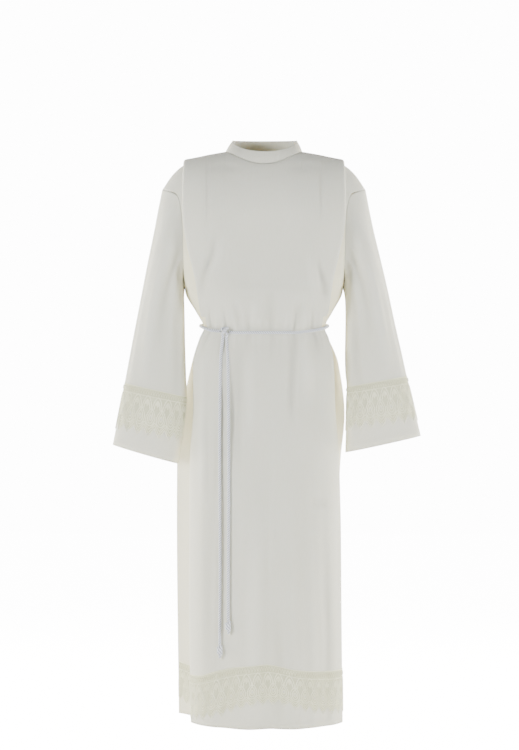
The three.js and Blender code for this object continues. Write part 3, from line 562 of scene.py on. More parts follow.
def single_cloth(grid):
    # The cloth beneath the pleats and round to the side seam, fading into the folds of the skirt, where a
    # warm, pale painted light stands in for light shining through the single cloth
    half_row_points = (grid.shape[1] - 1) / 2 / columns_between
    place = np.abs(np.linspace(-half_row_points, half_row_points, grid.shape[1]))
    shown = smooth(row_drops, 70, 230) * mix(1, 0.45, smooth(row_drops, 420, 700))
    return smooth(place, 14, 16.5) * shown[:, None]


cloth_material = ivory_cloth()
cloth_thickness, seam_gap = 1.4, 0.3
# How far cloth is moved where the painted shade of a fold is at its darkest or its painted highlight at its
# palest, on panels and on sleeves
panel_fold, sleeve_fold = 4.5, 3
columns_between = 6
front = panel_of(-1, 83, front_levels, front_folds, 2, 20, 8, 0.62)
row_heights = (*np.arange(shoulder_roll, 330, 9.4), *np.arange(333, 560, 6),
               *np.arange(560, hem_drop - 5, 11), hem_drop)
fine_rows = roll_rows(np.arange(0, 90, 5)) + [(right_angle, height) for height in row_heights]
row_drops = np.array([drop for _, drop in fine_rows])
front_grid = refine_across(panel_grid(front, fine_rows), columns_between)
front_normals = normals_of(front_grid)
column_share = np.abs(np.linspace(-1, 1, front_grid.shape[1]))
top_layer = 1 - smooth(column_share, 0.5, 0.58)
front_creases = [
    ([(-116, -185), (-127, -245), (-137, -262), (-150, -300), (-155, -335)], 16, -5.6),
    ([(-104, -190), (-112, -245), (-124, -285)], 18, 2.8),
    ([(128, -257), (138, -290), (145, -312), (149, -350)], 15, -5.6),
    ([(112, -240), (120, -285), (126, -330)], 20, 3.1),
    ([(-140, -20), (-139, -100), (-140, -165)], 6, -2.4),
    ([(140, -20), (139, -100), (140, -165)], 6, -2.4),
    ([(-150, -28), (-100, -24), (-60, -30)], 12, -2.2),
    ([(60, -30), (110, -25), (150, -30)], 12, -2.2),
    ([(-70, -360), (-64, -400), (-60, -425)], 12, -3.8),
    ([(96, -355), (84, -395), (78, -425)], 13, -4.2),
    ([(20, -330), (14, -380), (8, -425)], 20, -3.5),
    ([(-20, -345), (-24, -385), (-22, -425)], 15, 2.8),
    ([(70, -435), (72, -480), (68, -560), (66, -650)], 15, -6.4),
    ([(95, -440), (104, -500), (112, -600)], 20, 3.6),
    ([(-60, -440), (-66, -520), (-72, -640), (-70, -760)], 22, -5.4),
    ([(-30, -440), (-34, -540), (-30, -680)], 20, 3.4),
    ([(112, -853), (140, -851), (160, -862)], 12, -3.5),
    ([(28, -1120), (34, -1240), (32, -1397)], 20, -3.8),
    ([(150, -1000), (158, -1180), (160, -1397)], 18, -2.8),
    ([(-128, -700), (-134, -980), (-130, -1397)], 22, -3.0),
    ([(-146, -470), (-152, -640), (-150, -860)], 16, 3.4),
    ([(-20, -900), (-24, -1120), (-22, -1397)], 30, 4.9),
    ([(84, -760), (92, -1000), (96, -1300)], 26, -2.4),
]
front_gathers = [
    (-0.50, 0.020, 2.2, 50, 70, 0.1), (-0.43, 0.018, -3.7, 55, 60, 0.05), (-0.37, 0.02, 2.0, 70, 90, 0.0),
    (-0.29, 0.022, -4.1, 60, 110, 0.0), (-0.22, 0.02, 2.2, 45, 80, 0.0), (-0.12, 0.024, -3.4, 60, 90, 0.05),
    (-0.03, 0.022, 1.6, 40, 70, 0.0), (0.06, 0.026, -3.1, 55, 100, 0.0), (0.16, 0.02, 1.9, 60, 80, 0.0),
    (0.23, 0.02, -4.2, 70, 120, 0.0), (0.30, 0.02, 2.2, 50, 80, 0.0), (0.36, 0.018, -3.7, 60, 90, -0.05),
    (0.44, 0.02, 2.2, 55, 70, -0.05), (0.52, 0.02, -3.1, 50, 60, -0.1), (0.72, 0.03, 1.5, 50, 60, 0.0),
    (-0.72, 0.03, 1.5, 50, 60, 0.0),
]
front_smooth = front_grid
front_grid = (front_grid + waist_gathers(front_grid, front_normals, front_gathers)
              + sum(crease(front_grid, front_normals, *each, top_layer) for each in front_creases))
front_cloth = cloth_piece("alb_front", inset_edges(front_grid.copy(), seam_gap), cloth_thickness,
                          single=single_cloth(front_grid),
                          fold=moved_along(front_grid, front_smooth, front_normals, panel_fold))
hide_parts("front_bodice", "front_skirt_upper", "front_skirt_lower")


# Alb, back panel: cut like the front, a little narrower across, with the same two shoulder pleats.
# It hangs fuller below the waist, where the cord gathers it at the back.
back_levels = [
    (0, 120, 197, 197, 56, 90, 6), (175, 120, 190, 190, 50, 90, 6), (325, 122, 160, 160, 40, 90, 6),
    (405, 114, 146, 145, 30, 90, 5), (425, 106, 143, 141, 28, 90, 5), (510, 120, 160, 160, 24, 92, 6),
    (640, 131, 166, 170, 20, 95, 6), (900, 142, 165, 174, 18, 99, 6), (1397, 151, 162, 170, 16, 101, 6),
]
back_folds = [
    (0, 470, 800, 0.18, -11), (0.35, 500, 950, 0.16, 8), (-0.33, 520, 900, 0.17, 9),
    (-0.66, 480, 900, 0.14, -8), (0.68, 560, 1000, 0.13, -7),
]
back = panel_of(1, 42, back_levels, back_folds, 3, 60, 25, 0.3)
back_grid = refine_across(panel_grid(back, fine_rows), columns_between)
back_normals = normals_of(back_grid)
back_creases = [
    ([(-140, -20), (-139, -100), (-140, -165)], 6, -2.4),
    ([(140, -20), (139, -100), (140, -165)], 6, -2.4),
    ([(-110, -200), (-126, -262), (-140, -330)], 18, -5.6),
    ([(112, -190), (124, -250), (142, -335)], 17, -5.1),
    ([(-60, -150), (-72, -230), (-80, -330)], 26, 3.4),
    ([(50, -160), (66, -250), (70, -350)], 24, 3.6),
    ([(-20, -300), (-16, -350), (-12, -400)], 16, -4.2),
    ([(30, -310), (26, -360), (24, -400)], 14, -3.5),
    ([(-50, -430), (-56, -560), (-52, -760)], 22, -6.4),
    ([(44, -430), (52, -600), (50, -840)], 24, -6.7),
    ([(110, -430), (118, -560), (122, -700)], 18, 3.9),
    ([(-104, -430), (-112, -540), (-118, -690)], 18, 3.6),
    ([(-90, -900), (-96, -1150), (-92, -1397)], 26, -6.1),
    ([(20, -1000), (26, -1200), (24, -1397)], 28, 5.0),
    ([(120, -800), (126, -1100), (122, -1397)], 22, -5.1),
]
back_gathers = [
    (-0.52, 0.022, 2.2, 50, 80, 0.0), (-0.44, 0.02, -4.1, 60, 90, 0.0), (-0.35, 0.022, 2.2, 60, 110, 0.0),
    (-0.26, 0.02, -4.4, 70, 120, 0.05), (-0.17, 0.022, 2.4, 60, 90, 0.0), (-0.08, 0.02, -4.1, 55, 110, 0.0),
    (0.0, 0.022, 2.2, 50, 90, 0.0), (0.09, 0.02, -4.4, 65, 120, 0.0), (0.19, 0.022, 2.2, 60, 80, 0.0),
    (0.28, 0.02, -4.1, 70, 100, -0.05), (0.37, 0.02, 2.4, 50, 90, 0.0), (0.46, 0.02, -3.7, 60, 80, 0.0),
    (0.54, 0.022, 2.0, 50, 60, 0.0),
]
back_smooth = back_grid
back_grid = (back_grid + waist_gathers(back_grid, back_normals, back_gathers)
             + sum(crease(back_grid, back_normals, *each, top_layer) for each in back_creases))
back_cloth = cloth_piece("alb_back", inset_edges(back_grid.copy(), seam_gap), cloth_thickness,
                         single=single_cloth(back_grid),
                         fold=moved_along(back_grid, back_smooth, back_normals, panel_fold))
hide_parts("back_bodice", "back_skirt_upper", "back_skirt_lower")


# Alb, sleeves: wide set-in sleeves, each cut in one piece with its seam under the arm.
# They hang a little forward over the hands and widen to an open cuff.
sleeve_rings = {
    # outer edge x and drop, inner edge x and drop, middle y, half depth
    "right": [
        (264, 125, 200, 343, 3, 77), (275, 185, 199, 368, -2, 74), (289, 255, 198, 402, -8, 70),
        (304, 335, 197, 447, -15, 65), (321, 425, 195, 505, -24, 60), (333, 490, 193.5, 548, -30, 56),
        (345, 557, 192.5, 592, -36, 53), (374, 710, 212, 757, -45, 48),
    ],
    "left": [
        (262, 118, 203, 343, 3, 77), (274, 178, 204, 368, -2, 74), (290, 246, 204, 402, -8, 70),
        (308, 325, 203, 447, -15, 65), (326, 412, 202, 500, -24, 60), (340, 475, 203, 535, -30, 56),
        (354, 540, 206, 567, -36, 53), (388, 688, 202, 729, -45, 48),
    ],
}
# Long folds: angle from the outer edge by way of the front, half width, depth at each ring
sleeve_folds = [
    (102, 26, (0, -4, -7, -8, -7, -5, -3, 0, 0)), (62, 26, (0, 2, 4, 4, 4, 4, 2, 0, 0)),
    (258, 30, (0, -3, -6, -7, -6, -5, -3, 0, 0)), (300, 28, (0, 2, 3, 4, 5, 4, 2, 0, 0)),
]
seam_drops = [205, 235, 263, 288, 308, 320, underarm]


def sleeve_grid(side):
    outward = 1 if side == "left" else -1
    rows = roll_rows((0, 18, 36, 54, 72, 90)) + [(right_angle, d) for d in seam_drops]
    panels = panel_grid(front, rows), panel_grid(back, rows)
    ahead, behind = panels if side == "right" else panels[::-1]
    first, second = ahead[:, 0], behind[:, -1]
    start = np.concatenate([first, second[1:-1][::-1]])
    count = len(start)
    half = count // 2
    rings = np.array([(abs(start[0, 0]), -start[0, 2], abs(start[half, 0]), -start[half, 2], ridge_y, 78),
                      *sleeve_rings[side]])
    angle = np.arange(count) / count * 2 * np.pi
    turned = np.degrees(angle) if outward < 0 else 360 - np.degrees(angle)

    def ring_points(ring):
        outer = np.array([outward * ring[0], ring[4], -ring[1]])
        inner = np.array([outward * ring[2], ring[4], -ring[3]])
        middle = (outer + inner) / 2
        forward = np.array([0, outward * ring[5], 0])
        points = middle + np.cos(angle)[:, None] * (outer - inner) / 2 + np.sin(angle)[:, None] * forward
        return middle, points

    offset = start - ring_points(rings[0])[1]
    grid = []
    for k, ring in enumerate(rings):
        middle, points = ring_points(ring)
        points = points + offset * (1 - min(k / 4, 1)) ** 2
        radial = unit(points - middle)
        for fold_angle, width, depths in sleeve_folds:
            away = np.clip(np.abs(turned - fold_angle) / width, 0, 1)
            points = points + radial * (depths[k] * (1 - smooth(away, 0, 1)))[:, None]
        if k == 0:
            near_bottom = 1 - np.abs(np.arange(count) / half - 1)
            points[near_bottom > 0.7, 0] += outward * 2.4
        grid.append(points)
    return np.array(grid)


def sleeve_relief(grid, normals, marks):
    # Each mark: angle from the outer edge, how far down it starts and ends, half width, depth and lean
    rows, columns = grid.shape[:2]
    angle = np.arange(columns) / columns * 360
    share = np.linspace(0, 1, rows)[:, None]
    moved = np.zeros((rows, columns))
    for middle, start, end, width, depth, lean in marks:
        away = np.abs((angle[None, :] - middle - lean * (share - start) + 180) % 360 - 180)
        run = np.clip((share - start) / (end - start), 0, 1)
        moved += depth * trough(away, width) * np.sin(run * np.pi) ** 0.7
    return normals * moved[..., None]


sleeve_marks = {
    "right": [
        (98, 0.02, 0.62, 12, -3.0, -14), (70, 0.1, 0.86, 16, 2.6, -8), (128, 0.3, 0.95, 14, -2.6, 10),
        (40, 0.05, 0.5, 16, 2.0, 10), (150, 0.05, 0.45, 16, 3.0, 0), (165, 0.08, 0.3, 12, -3.2, 0),
        (20, 0.35, 0.95, 16, -2.0, 0), (250, 0.1, 0.8, 18, -3.0, 12), (290, 0.2, 0.9, 18, 2.6, -8),
        (220, 0.05, 0.5, 16, 2.6, 0), (330, 0.3, 0.95, 16, -2.2, 0), (115, 0.02, 0.2, 10, -2.0, 20),
    ],
    "left": [
        (262, 0.02, 0.6, 12, -3.0, 14), (292, 0.1, 0.85, 16, 2.4, 8), (236, 0.25, 0.95, 14, -2.6, -10),
        (318, 0.05, 0.5, 16, 2.0, -10), (208, 0.05, 0.45, 16, 3.0, 0), (195, 0.08, 0.3, 12, -3.2, 0),
        (340, 0.35, 0.95, 16, -2.0, 0), (110, 0.1, 0.8, 18, -3.0, -12), (70, 0.2, 0.9, 18, 2.6, 8),
        (140, 0.05, 0.5, 16, 2.6, 0), (30, 0.3, 0.95, 16, -2.2, 0), (245, 0.02, 0.2, 10, -2.0, -20),
    ],
}
ring_steps = 12
sleeve_grids = {}
for side in ("right", "left"):
    coarse = refine_across(sleeve_grid(side), 8, closed=True)
    down = np.linspace(0, 1, 8 * ring_steps + 1)
    grid = curve_through(coarse.transpose(1, 0, 2), down).transpose(1, 0, 2)
    plain, normals = grid, normals_of(grid, True)
    grid = plain + sleeve_relief(plain, normals, sleeve_marks[side])
    sleeve_grids[side] = grid
    towards_body = 180 - np.abs(np.arange(grid.shape[1]) / grid.shape[1] * 360 - 180)
    # Painted light on the side of the sleeve towards the body, as on the single cloth of the panels
    single = smooth(towards_body, 140, 176) * 0.7 * np.ones(grid.shape[:2])
    sleeve = cloth_piece(f"alb_sleeve_{side}", inset_edges(grid.copy(), seam_gap, sides=False),
                         cloth_thickness, wraps=True, single=single,
                         fold=moved_along(grid, plain, normals, sleeve_fold))
    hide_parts(f"sleeve_{side}")


# Alb, collar: a narrow stand band of doubled cloth, faced and turned along its upper edge.
# It stands round the neck, dips at the front and is eased with a small tuck on the wearer's left.
neck_rows = panel_grid(front, roll_rows([0]))[0], panel_grid(back, roll_rows([0]))[0]
middle_column = (len(neck_rows[0]) - 1) // 2
neckline = [row[middle_column - 6:middle_column + 7] for row in neck_rows]
collar_seam = np.concatenate([neckline[0], neckline[1][1:-1]])
across_share = np.clip(collar_seam[:, 0] / neck_half_width, -1, 1)
round_share = np.sqrt(1 - across_share ** 2)[:, None]
at_front = (collar_seam[:, 1] < ridge_y)[:, None]
side_yz, front_yz, back_yz = np.array([4, 49]), np.array([-66, 14]), np.array([40, 52])
top_yz = mix(side_yz, np.where(at_front, front_yz, back_yz), round_share)
collar_top = np.column_stack([2 + 79 * across_share, top_yz])
collar_middle = (collar_seam + collar_top) / 2
collar_middle += unit(collar_middle * (1, 1, 0)) * 1.5
collar_grid = refine_across(np.array([collar_top, collar_middle, collar_seam]), 8, closed=True)
collar_grid = curve_through(collar_grid.transpose(1, 0, 2), np.linspace(0, 1, 15)).transpose(1, 0, 2)
collar_normals = normals_of(collar_grid, True)
lift = np.zeros(collar_grid.shape[:2])
for tuck_x, width, depth in ((30, 8, -1.2), (39, 7, 0.8), (-42, 12, -0.8)):
    near = trough(collar_grid[..., 0] - tuck_x, width) * (collar_grid[..., 1] < 0)
    lift += depth * near * np.linspace(0.4, 1, 15)[:, None]
collar_grid = collar_grid + collar_normals * lift[..., None]
collar_grid[-1] += unit(collar_grid[-2] - collar_grid[-1]) * 0.5
collar = cloth_piece("alb_collar", collar_grid, 2.4, wraps=True)
rounding = collar.modifiers.new("turned_edge", "BEVEL")
rounding.width = 0.0007
rounding.segments = 2
rounding.angle_limit = math.radians(60)
bpy.ops.object.modifier_apply(modifier=rounding.name)
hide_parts("collar")


# Lace bands: cream cotton guipure sewn flat on hem and cuffs, a net heading over nested arches and teardrops,
# and nested points hanging below. Its cords stand up from a fine net ground, cut away in the larger eyes.
def cotton_lace():
    # Unbleached cotton thread: cream with a faint green cast, matt, with fine thread along each cord
    material = start_material("cream_cotton_lace")
    along = add_node(material, "ShaderNodeUVMap", {}, uv_map="cloth")
    fibre = add_node(material, "ShaderNodeTexNoise", {
        "Vector": along.outputs["UV"], "Scale": 900, "Detail": 2,
    })
    tone = add_node(material, "ShaderNodeMix", {
        "Factor": fibre.outputs["Fac"], "A": srgb("#ECECD1"), "B": srgb("#FAFAE7"),
    }, data_type="RGBA")
    relief = add_node(material, "ShaderNodeBump", {
        "Height": fibre.outputs["Fac"], "Strength": 0.5, "Distance": 0.0004,
    })
    finish_material(material, tone.outputs["Result"], relief.outputs["Normal"], 0.8, 0.1)
    return material


def lace_net():
    # The ground between the cords: a fine twisted net laid on the cross, darker with painted shade where its
    # holes show
    material = start_material("cream_lace_net")
    net_spacing = 0.0026
    flat = add_node(material, "ShaderNodeUVMap", {}, uv_map="cloth")
    turned = add_node(material, "ShaderNodeMapping", {
        "Vector": flat.outputs["UV"], "Rotation": (0, 0, math.pi / 4),
        "Scale": (2 * math.pi / net_spacing,) * 3,
    })
    split = add_node(material, "ShaderNodeSeparateXYZ", {"Vector": turned.outputs["Vector"]})
    first = add_node(material, "ShaderNodeMath", {0: split.outputs["X"]}, operation="SINE")
    second = add_node(material, "ShaderNodeMath", {0: split.outputs["Y"]}, operation="SINE")
    thread = add_node(material, "ShaderNodeMath", {
        0: first.outputs[0], 1: second.outputs[0],
    }, operation="MAXIMUM")
    uneven = add_node(material, "ShaderNodeTexNoise", {
        "Vector": flat.outputs["UV"], "Scale": 160, "Detail": 3,
    })
    threads_and_hole_shade = add_node(material, "ShaderNodeMath", {
        0: uneven.outputs["Fac"], 1: 0.8, 2: thread.outputs[0],
    }, operation="MULTIPLY_ADD")
    # Painted shade in the net's holes, with a little random unevenness, darkens the thread colour
    tone = add_node(material, "ShaderNodeMix", {
        "Factor": threads_and_hole_shade.outputs[0], "A": srgb("#BCBD9B"), "B": srgb("#DADBBE"),
    }, data_type="RGBA")
    relief = add_node(material, "ShaderNodeBump", {
        "Height": threads_and_hole_shade.outputs[0], "Strength": 0.6, "Distance": 0.0006,
    })
    finish_material(material, tone.outputs["Result"], relief.outputs["Normal"], 0.85, 0.05)
    return material


def arc(middle, half_width, top, foot, count=11):
    # A pointed arch, from foot to foot
    turn = np.linspace(-1, 1, count)
    bow = 1 - np.abs(turn) ** 1.35
    return np.stack([middle + half_width * np.sin(turn * right_angle), mix(foot, top, bow)], axis=1)


def teardrop(middle, half_width, top, foot, count=17):
    turn = np.linspace(0, 2 * np.pi, count)
    down = (1 - np.cos(turn)) / 2
    width = half_width * np.sin(turn) * (0.55 + 0.45 * smooth(down, 0, 0.6))
    return np.stack([middle + width, mix(top, foot, down)], axis=1)


def lace_motif():
    # The cords of one repeat, in shares of its width and of the band's depth, with each cord's width in mm
    cords = []
    for n in range(4):
        cords.append((arc(-0.375 + 0.25 * n, 0.1, 0.05, 0.14, 7), 1.4))
    for edge in (0.0, 0.19):
        cords.append(([(x, edge) for x in np.linspace(-0.5, 0.5, 5)], 1.8))
    for half_width, top, foot in ((0.47, 0.17, 0.5), (0.28, 0.26, 0.46)):
        cords.append((arc(0, half_width, top, foot), 2.5))
    for lean, low in ((-0.12, 0.38), (0, 0.41), (0.12, 0.38)):
        cords.append(([(lean * 0.3, 0.27), (lean * 0.8, 0.32), (lean, low)], 2.4))
    for half_width, top, foot in ((0.44, 0.44, 0.8), (0.27, 0.51, 0.75), (0.12, 0.58, 0.69)):
        cords.append((teardrop(0.5, half_width, top, foot), 2.5))
    for inset in (0.0, 0.055, 0.11):
        notch, tip = 0.835 - inset, 1.0 - 1.15 * inset
        cords.append(([(0, notch), (0.25, mix(notch, tip, 0.55)), (0.5, tip),
                       (0.75, mix(notch, tip, 0.55)), (1, notch)], 2.4))
    return [(np.asarray(line, float), width) for line, width in cords]


def lace_band(name, place, repeats, depth_mm, replaced):
    # place(a, b) gives the point and outward normal at a repeats along and b shares down
    size = np.array([repeat_width, depth_mm])
    points, faces, uvs = [], [], []

    def add(grid, corners, flat):
        base = sum(len(p) for p in points)
        points.append(grid)
        faces.extend((np.asarray(corners) + base).tolist())
        uvs.append(flat * size / 1000)

    for n in range(repeats):
        for line, cord_width in lace_motif():
            flat = line * size
            side = unit(np.gradient(flat, axis=0))[:, ::-1] * (-1, 1)
            cross = [flat + side * cord_width / 2, flat, flat - side * cord_width / 2, flat]
            rings, laid = [], []
            for edge, height in zip(cross, cord_heights):
                along, down = edge[:, 0] / repeat_width + n + 0.5, edge[:, 1] / depth_mm
                at, normal = place(along, down)
                rings.append(at + normal * height)
                laid.append(np.stack([along, down], axis=1))
            count = len(flat)
            quads = [(i * 4 + k, (i + 1) * 4 + k, (i + 1) * 4 + (k + 1) % 4, i * 4 + (k + 1) % 4)
                     for i in range(count - 1) for k in range(4)]
            last = (count - 1) * 4
            quads += [(0, 1, 2, 3), (last + 3, last + 2, last + 1, last)]
            add(np.stack(rings, axis=1).reshape(-1, 3), quads, np.stack(laid, axis=1).reshape(-1, 2))
    cord_faces = len(faces)
    for n in range(repeats):
        across, down = np.meshgrid(np.linspace(0, 1, 11), np.linspace(0, 0.98, 25))
        at, normal = place(across.ravel() + n, down.ravel())
        laid = np.stack([across.ravel() + n, down.ravel()], axis=1)
        for height, flip in ((1.1, 1), (0.8, -1)):
            quads = []
            for i in range(24):
                for j in range(10):
                    a = abs((j + 0.5) / 10 - 0.5)
                    b = 0.98 * (i + 0.5) / 24
                    in_eye = ((0.5 - a) / 0.08) ** 2 + ((b - 0.635) / 0.04) ** 2 < 1
                    beyond = b > 0.83 + 0.14 * (a / 0.5)
                    if not in_eye and not beyond:
                        corner = i * 11 + j
                        quads.append((corner, corner + 11, corner + 12, corner + 1)[::flip])
            add(at + normal * height, quads, laid)
    laid = np.concatenate(uvs)
    piece = make_piece(name, np.concatenate(points), faces, laid[np.concatenate(faces)],
                       lace_material)
    piece.data.materials.append(net_material)
    which = np.ones(len(faces), dtype=np.int32)
    which[:cord_faces] = 0
    piece.data.polygons.foreach_set("material_index", which)
    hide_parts(replaced)
    return piece


def sampler(grid, normals, wraps=False):
    # Reads a point and its normal between a grid's own, by row and column numbers
    rows, columns = grid.shape[:2]

    def read(row, column):
        row = np.clip(row, 0, rows - 1.001)
        i = row.astype(int)
        if wraps:
            column = column % columns
            j = column.astype(int) % columns
            nxt = (j + 1) % columns
        else:
            column = np.clip(column, 0, columns - 1.001)
            j = column.astype(int)
            nxt = j + 1
        s, t = (row - i)[:, None], (column - np.floor(column))[:, None]
        at, normal = (mix(mix(values[i, j], values[i, nxt], t),
                          mix(values[i + 1, j], values[i + 1, nxt], t), s) for values in (grid, normals))
        return at, unit(normal)
    return read


# Hem band: upper and lower edge by the place across the panel
hem_lace_line = [
    (-1, 1265, 1362), (-0.62, 1279, 1386), (-0.48, 1277, 1384), (-0.3, 1259, 1371), (-0.15, 1246, 1348),
    (0, 1241, 1338), (0.1, 1246, 1338), (0.24, 1256, 1352), (0.42, 1263, 1366), (0.6, 1265, 1370),
    (1, 1265, 1362),
]
lace_material, net_material = cotton_lace(), lace_net()
repeat_width, hem_lace_depth, cuff_lace_depth = 27, 105, 112
cord_heights = (1.0, 2.8, 1.0, 0.75)
hem_top, hem_bottom = along_column(hem_lace_line, 1), along_column(hem_lace_line, 2)


def hem_place(grid, flat_line):
    read = sampler(grid, normals_of(grid))
    row = np.searchsorted(row_drops, 1320)
    length = np.concatenate([[0], np.cumsum(np.linalg.norm(np.diff(grid[row], axis=0), axis=1))])
    margin = 4
    repeats = round((length[-1] - 2 * margin) / repeat_width)
    start, step = margin, (length[-1] - 2 * margin) / repeats

    def place(a, b):
        column = np.interp(start + a * step, length, np.arange(len(length)))
        share = np.ones_like(column) if flat_line else 2 * column / (len(length) - 1) - 1
        drop = mix(hem_top(share), hem_bottom(share), b)
        return read(np.interp(drop, row_drops, np.arange(len(row_drops))), column)
    return place, repeats


for name, grid, flat_line in (("front", front_grid, False), ("back", back_grid, True)):
    place, repeats = hem_place(grid, flat_line)
    lace_band(f"hem_lace_{name}", place, repeats, hem_lace_depth, f"lace_hem_{name}")

for side in ("right", "left"):
    grid = sleeve_grids[side]
    read = sampler(grid, normals_of(grid, True), wraps=True)
    columns = grid.shape[1]
    ring = grid[-ring_steps // 2]
    around = np.concatenate([ring, ring[:1]])
    length = np.concatenate([[0], np.cumsum(np.linalg.norm(np.diff(around, axis=0), axis=1))])
    repeats = round(length[-1] / repeat_width / 2)
    halves = ("front", "back") if side == "right" else ("back", "front")
    for n, face in enumerate(halves):
        def cuff_place(a, b):
            column = np.interp((n * repeats + a) / (2 * repeats) * length[-1], length, np.arange(columns + 1))
            towards_inner = (1 - np.cos(column / columns * 2 * np.pi)) / 2
            bottom = mix(0.75, 0.69, towards_inner)
            return read((7 + bottom * b) * ring_steps, column)
        name = f"cuff_lace_{side}_{face}"
        lace_band(name, cuff_place, repeats, cuff_lace_depth, f"lace_cuff_{side}_{face}")


# Stitching: small ivory stitches down the shoulder pleats, round both edges of the collar,
# and along the turned hems of skirt and cuffs.
def sewing_thread():
    material = start_material("ivory_sewing_thread")
    along = add_node(material, "ShaderNodeUVMap", {}, uv_map="cloth")
    twist = add_node(material, "ShaderNodeTexNoise", {
        "Vector": along.outputs["UV"], "Scale": 1500, "Detail": 2,
    })
    tone = add_node(material, "ShaderNodeMix", {
        "Factor": twist.outputs["Fac"], "A": srgb("#DEDACF"), "B": srgb("#F1EEE6"),
    }, data_type="RGBA")
    relief = add_node(material, "ShaderNodeBump", {
        "Height": twist.outputs["Fac"], "Strength": 0.4, "Distance": 0.0002,
    })
    finish_material(material, tone.outputs["Result"], relief.outputs["Normal"], 0.6, 0.2)
    return material


def stitched(name, lines, pitch=3.6, length=2.4):
    # Each line is a run of points on the cloth's face with their normals
    points, faces, uvs = [], [], []
    for at, normal in lines:
        travelled = np.concatenate([[0], np.cumsum(np.linalg.norm(np.diff(at, axis=0), axis=1))])
        for middle in np.arange(pitch, travelled[-1] - pitch, pitch):
            base = len(points)
            for step, width, height in ((-0.5, 0.4, 0.25), (0, 0.7, 0.6), (0.5, 0.4, 0.25)):
                here, out, ahead = ([np.interp(middle + step * length + more, travelled, values[:, k])
                                     for k in range(3)] for values, more in ((at, 0), (normal, 0), (at, 0.5)))
                here, out = np.array(here), unit(np.array(out))
                side = unit(np.cross(out, np.array(ahead) - here)) * width / 2
                crown = here + out * height
                points += [here - side, here + side, crown + side * 0.6, crown - side * 0.6]
            for i in range(2):
                faces += [[base + i * 4 + k, base + i * 4 + (k + 1) % 4, base + i * 4 + 4 + (k + 1) % 4,
                           base + i * 4 + 4 + k] for k in range(4)]
            faces += [[base + 3, base + 2, base + 1, base], [base + 8, base + 9, base + 10, base + 11]]
    for face in faces:
        uvs += [(points[v][0] / 1000, points[v][2] / 1000) for v in face]
    return make_piece(name, points, faces, uvs, thread_material)


def face_line(grid, wraps, rows, columns, clear):
    read = sampler(grid, normals_of(grid, wraps), wraps)
    at, normal = read(np.asarray(rows, float), np.asarray(columns, float))
    return at + normal * clear, normal


def pleat_line(grid, outward):
    # Down the top layer, at the stitched edge of the shoulder pleat
    middle = (grid.shape[1] - 1) // 2
    rows = np.flatnonzero((row_drops > 6) & (row_drops < 160))
    top = middle + outward * np.arange(12 * columns_between)
    columns = [np.interp(140, np.abs(grid[i, top, 0]), top) for i in rows]
    return face_line(grid, False, rows, columns, thread_clear)


thread_material = sewing_thread()
thread_clear, collar_clear = 0.75, 1.25
stitched("pleat_stitches_front", [pleat_line(front_grid, outward) for outward in (-1, 1)])
stitched("pleat_stitches_back", [pleat_line(back_grid, outward) for outward in (-1, 1)])
round_collar = np.linspace(0, collar_grid.shape[1], 400)
stitched("collar_stitches", [face_line(collar_grid, True, np.full(400, row), round_collar, collar_clear)
                             for row in (1.6, 12.2)])
for side, grid in sleeve_grids.items():
    round_cuff = np.linspace(0, grid.shape[1], 400)
    near_edge = np.full(400, 7.9 * ring_steps)
    stitched(f"cuff_stitches_{side}", [face_line(grid, True, near_edge, round_cuff, thread_clear)])
for name, grid in (("front", front_grid), ("back", back_grid)):
    along_hem = np.linspace(6, grid.shape[1] - 7, 900)
    hem_row = np.full(900, np.interp(hem_drop - 14, row_drops, np.arange(len(row_drops))))
    stitched(f"hem_stitches_{name}", [face_line(grid, False, hem_row, along_hem, thread_clear)])


# Cincture, round the waist: the same cord held tight round the cloth, tied right of the middle
# in a small crossed knot: one strand comes up over the other, turns behind and goes down under it.
waist_route = [
    (-85.6, -106, -433), (-62, -114, -434), (-31, -120, -434), (0, -121, -434), (31, -120, -434),
    (63, -114, -434),
    (78, -109, -434), (110, -98, -430), (129, -89, -427), (148, -68, -422), (156, -44, -418), (160, 7, -415),
    (159, 58, -412), (146, 82, -409), (124, 102, -406), (62, 115, -405), (31, 120, -405), (0, 121, -405),
    (-31, 120, -405), (-61, 115, -405), (-123, 101, -407), (-146, 81, -410), (-158, 56, -412),
    (-158, 7, -415),
    (-154, -44, -418), (-146, -68, -422), (-127, -89, -428), (-109, -98, -430), (-106.4, -99, -430.4),
]
waist_cord = twisted_cord("cincture_waist", waist_route)
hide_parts("waist_cord")
knot_middle = (-96, -108.6, -431)
knot_turns = [
    (-4.4, 0, -12.4), (-6.4, -4, -6.6), (-1.4, -8, 0), (4.6, -6.4, 6), (6.6, -0.6, 9), (3, 4.2, 8.4),
    (-3.6, 4, 7.4), (-7, 0.2, 6), (-4.4, -2.2, 3.2), (0.8, 0.2, -0.8), (5.8, -2.6, -6), (4.4, 0, -12.4),
]
waist_knot = twisted_cord("cincture_knot", np.asarray(knot_turns) + knot_middle, 7.2)
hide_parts("waist_knot")


# Floor and light: a plain pale studio floor just below the hem, even white surroundings, two soft lamps
# in front that model the folds, and four warm ones at the sides and behind, for the cloth beside the pleats.
lit_strength, seen_white = 0.33, 14


def seen_strength(holder, lighting, seen):
    # One strength for the light that falls on the alb, another for what the picture shows of the surround
    path = add_node(holder, "ShaderNodeLightPath", {})
    strength = add_node(holder, "ShaderNodeMapRange", {
        "Value": path.outputs["Is Camera Ray"], "To Min": lighting, "To Max": seen,
    })
    return strength.outputs["Result"]


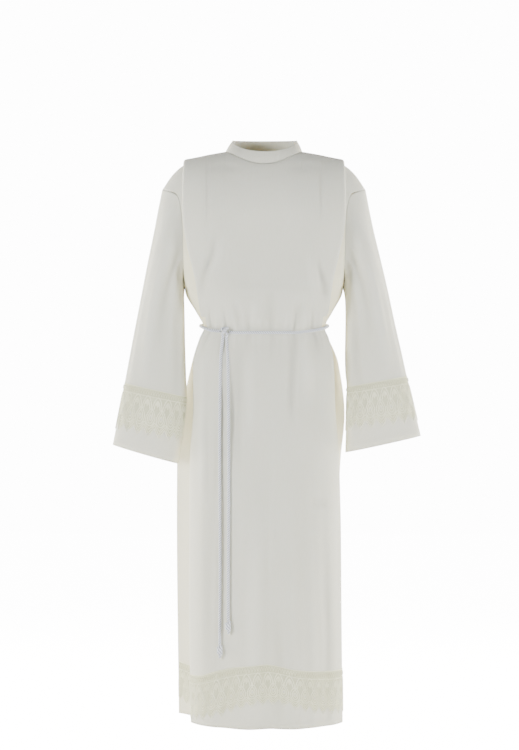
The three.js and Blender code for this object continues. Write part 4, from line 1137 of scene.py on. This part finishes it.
def studio_floor():
    material = start_material("studio_floor_paint")
    coords = add_node(material, "ShaderNodeTexCoord", {})
    mottle = add_node(material, "ShaderNodeTexNoise", {"Vector": coords.outputs["Object"], "Scale": 3})
    tone = add_node(material, "ShaderNodeMix", {
        "Factor": mottle.outputs["Fac"], "A": srgb("#F3F3F2"), "B": srgb("#F8F8F8"),
    }, data_type="RGBA")
    relief = add_node(material, "ShaderNodeBump", {
        "Height": mottle.outputs["Fac"], "Strength": 0.05, "Distance": 0.001,
    })
    surface = finish_material(material, tone.outputs["Result"], relief.outputs["Normal"], 0.9, 0.0)
    surface.inputs["Emission Color"].default_value = srgb("#FFFFFF")
    material.node_tree.links.new(seen_strength(material, 0, seen_white), surface.inputs["Emission Strength"])
    return material


bpy.ops.mesh.primitive_plane_add(size=14, location=(0, 0, -1.49))
floor = bpy.context.object
floor.name = "studio_floor"
floor.data.materials.append(studio_floor())

world = bpy.data.worlds.new("white_studio")
world.use_nodes = True
world.node_tree.nodes.clear()
surround = add_node(world, "ShaderNodeBackground", {
    "Color": srgb("#FFFFFF"), "Strength": seen_strength(world, lit_strength, seen_white),
})
add_node(world, "ShaderNodeOutputWorld", {"Surface": surround.outputs["Background"]})
bpy.context.scene.world = world
warm_light = (1.0, 0.93, 0.76)
for name, place, tilt, turn, power, size in (
    ("key_lamp", (-3.1, -2.2, 0.0), 83, -55, 178, 0.8),
    ("fill_lamp", (3.0, -2.2, -0.5), 90, 54, 148, 0.8),
    ("left_back_lamp", (-1.7, 1.5, 0.2), 68, -131, 110, 1.0),
    ("right_back_lamp", (1.7, 1.5, 0.2), 68, 131, 110, 1.0),
    ("left_side_lamp", (-2.4, 0.3, -1.2), 97, -90, 40, 0.8),
    ("right_side_lamp", (2.4, 0.3, -1.2), 97, 90, 40, 0.8),
):
    facing = (math.radians(tilt), 0, math.radians(turn))
    bpy.ops.object.light_add(type="AREA", location=place, rotation=facing)
    lamp = bpy.context.object
    lamp.name = name
    lamp.data.energy = power
    lamp.data.size = size
    if name not in ("key_lamp", "fill_lamp"):
        lamp.data.color = warm_light
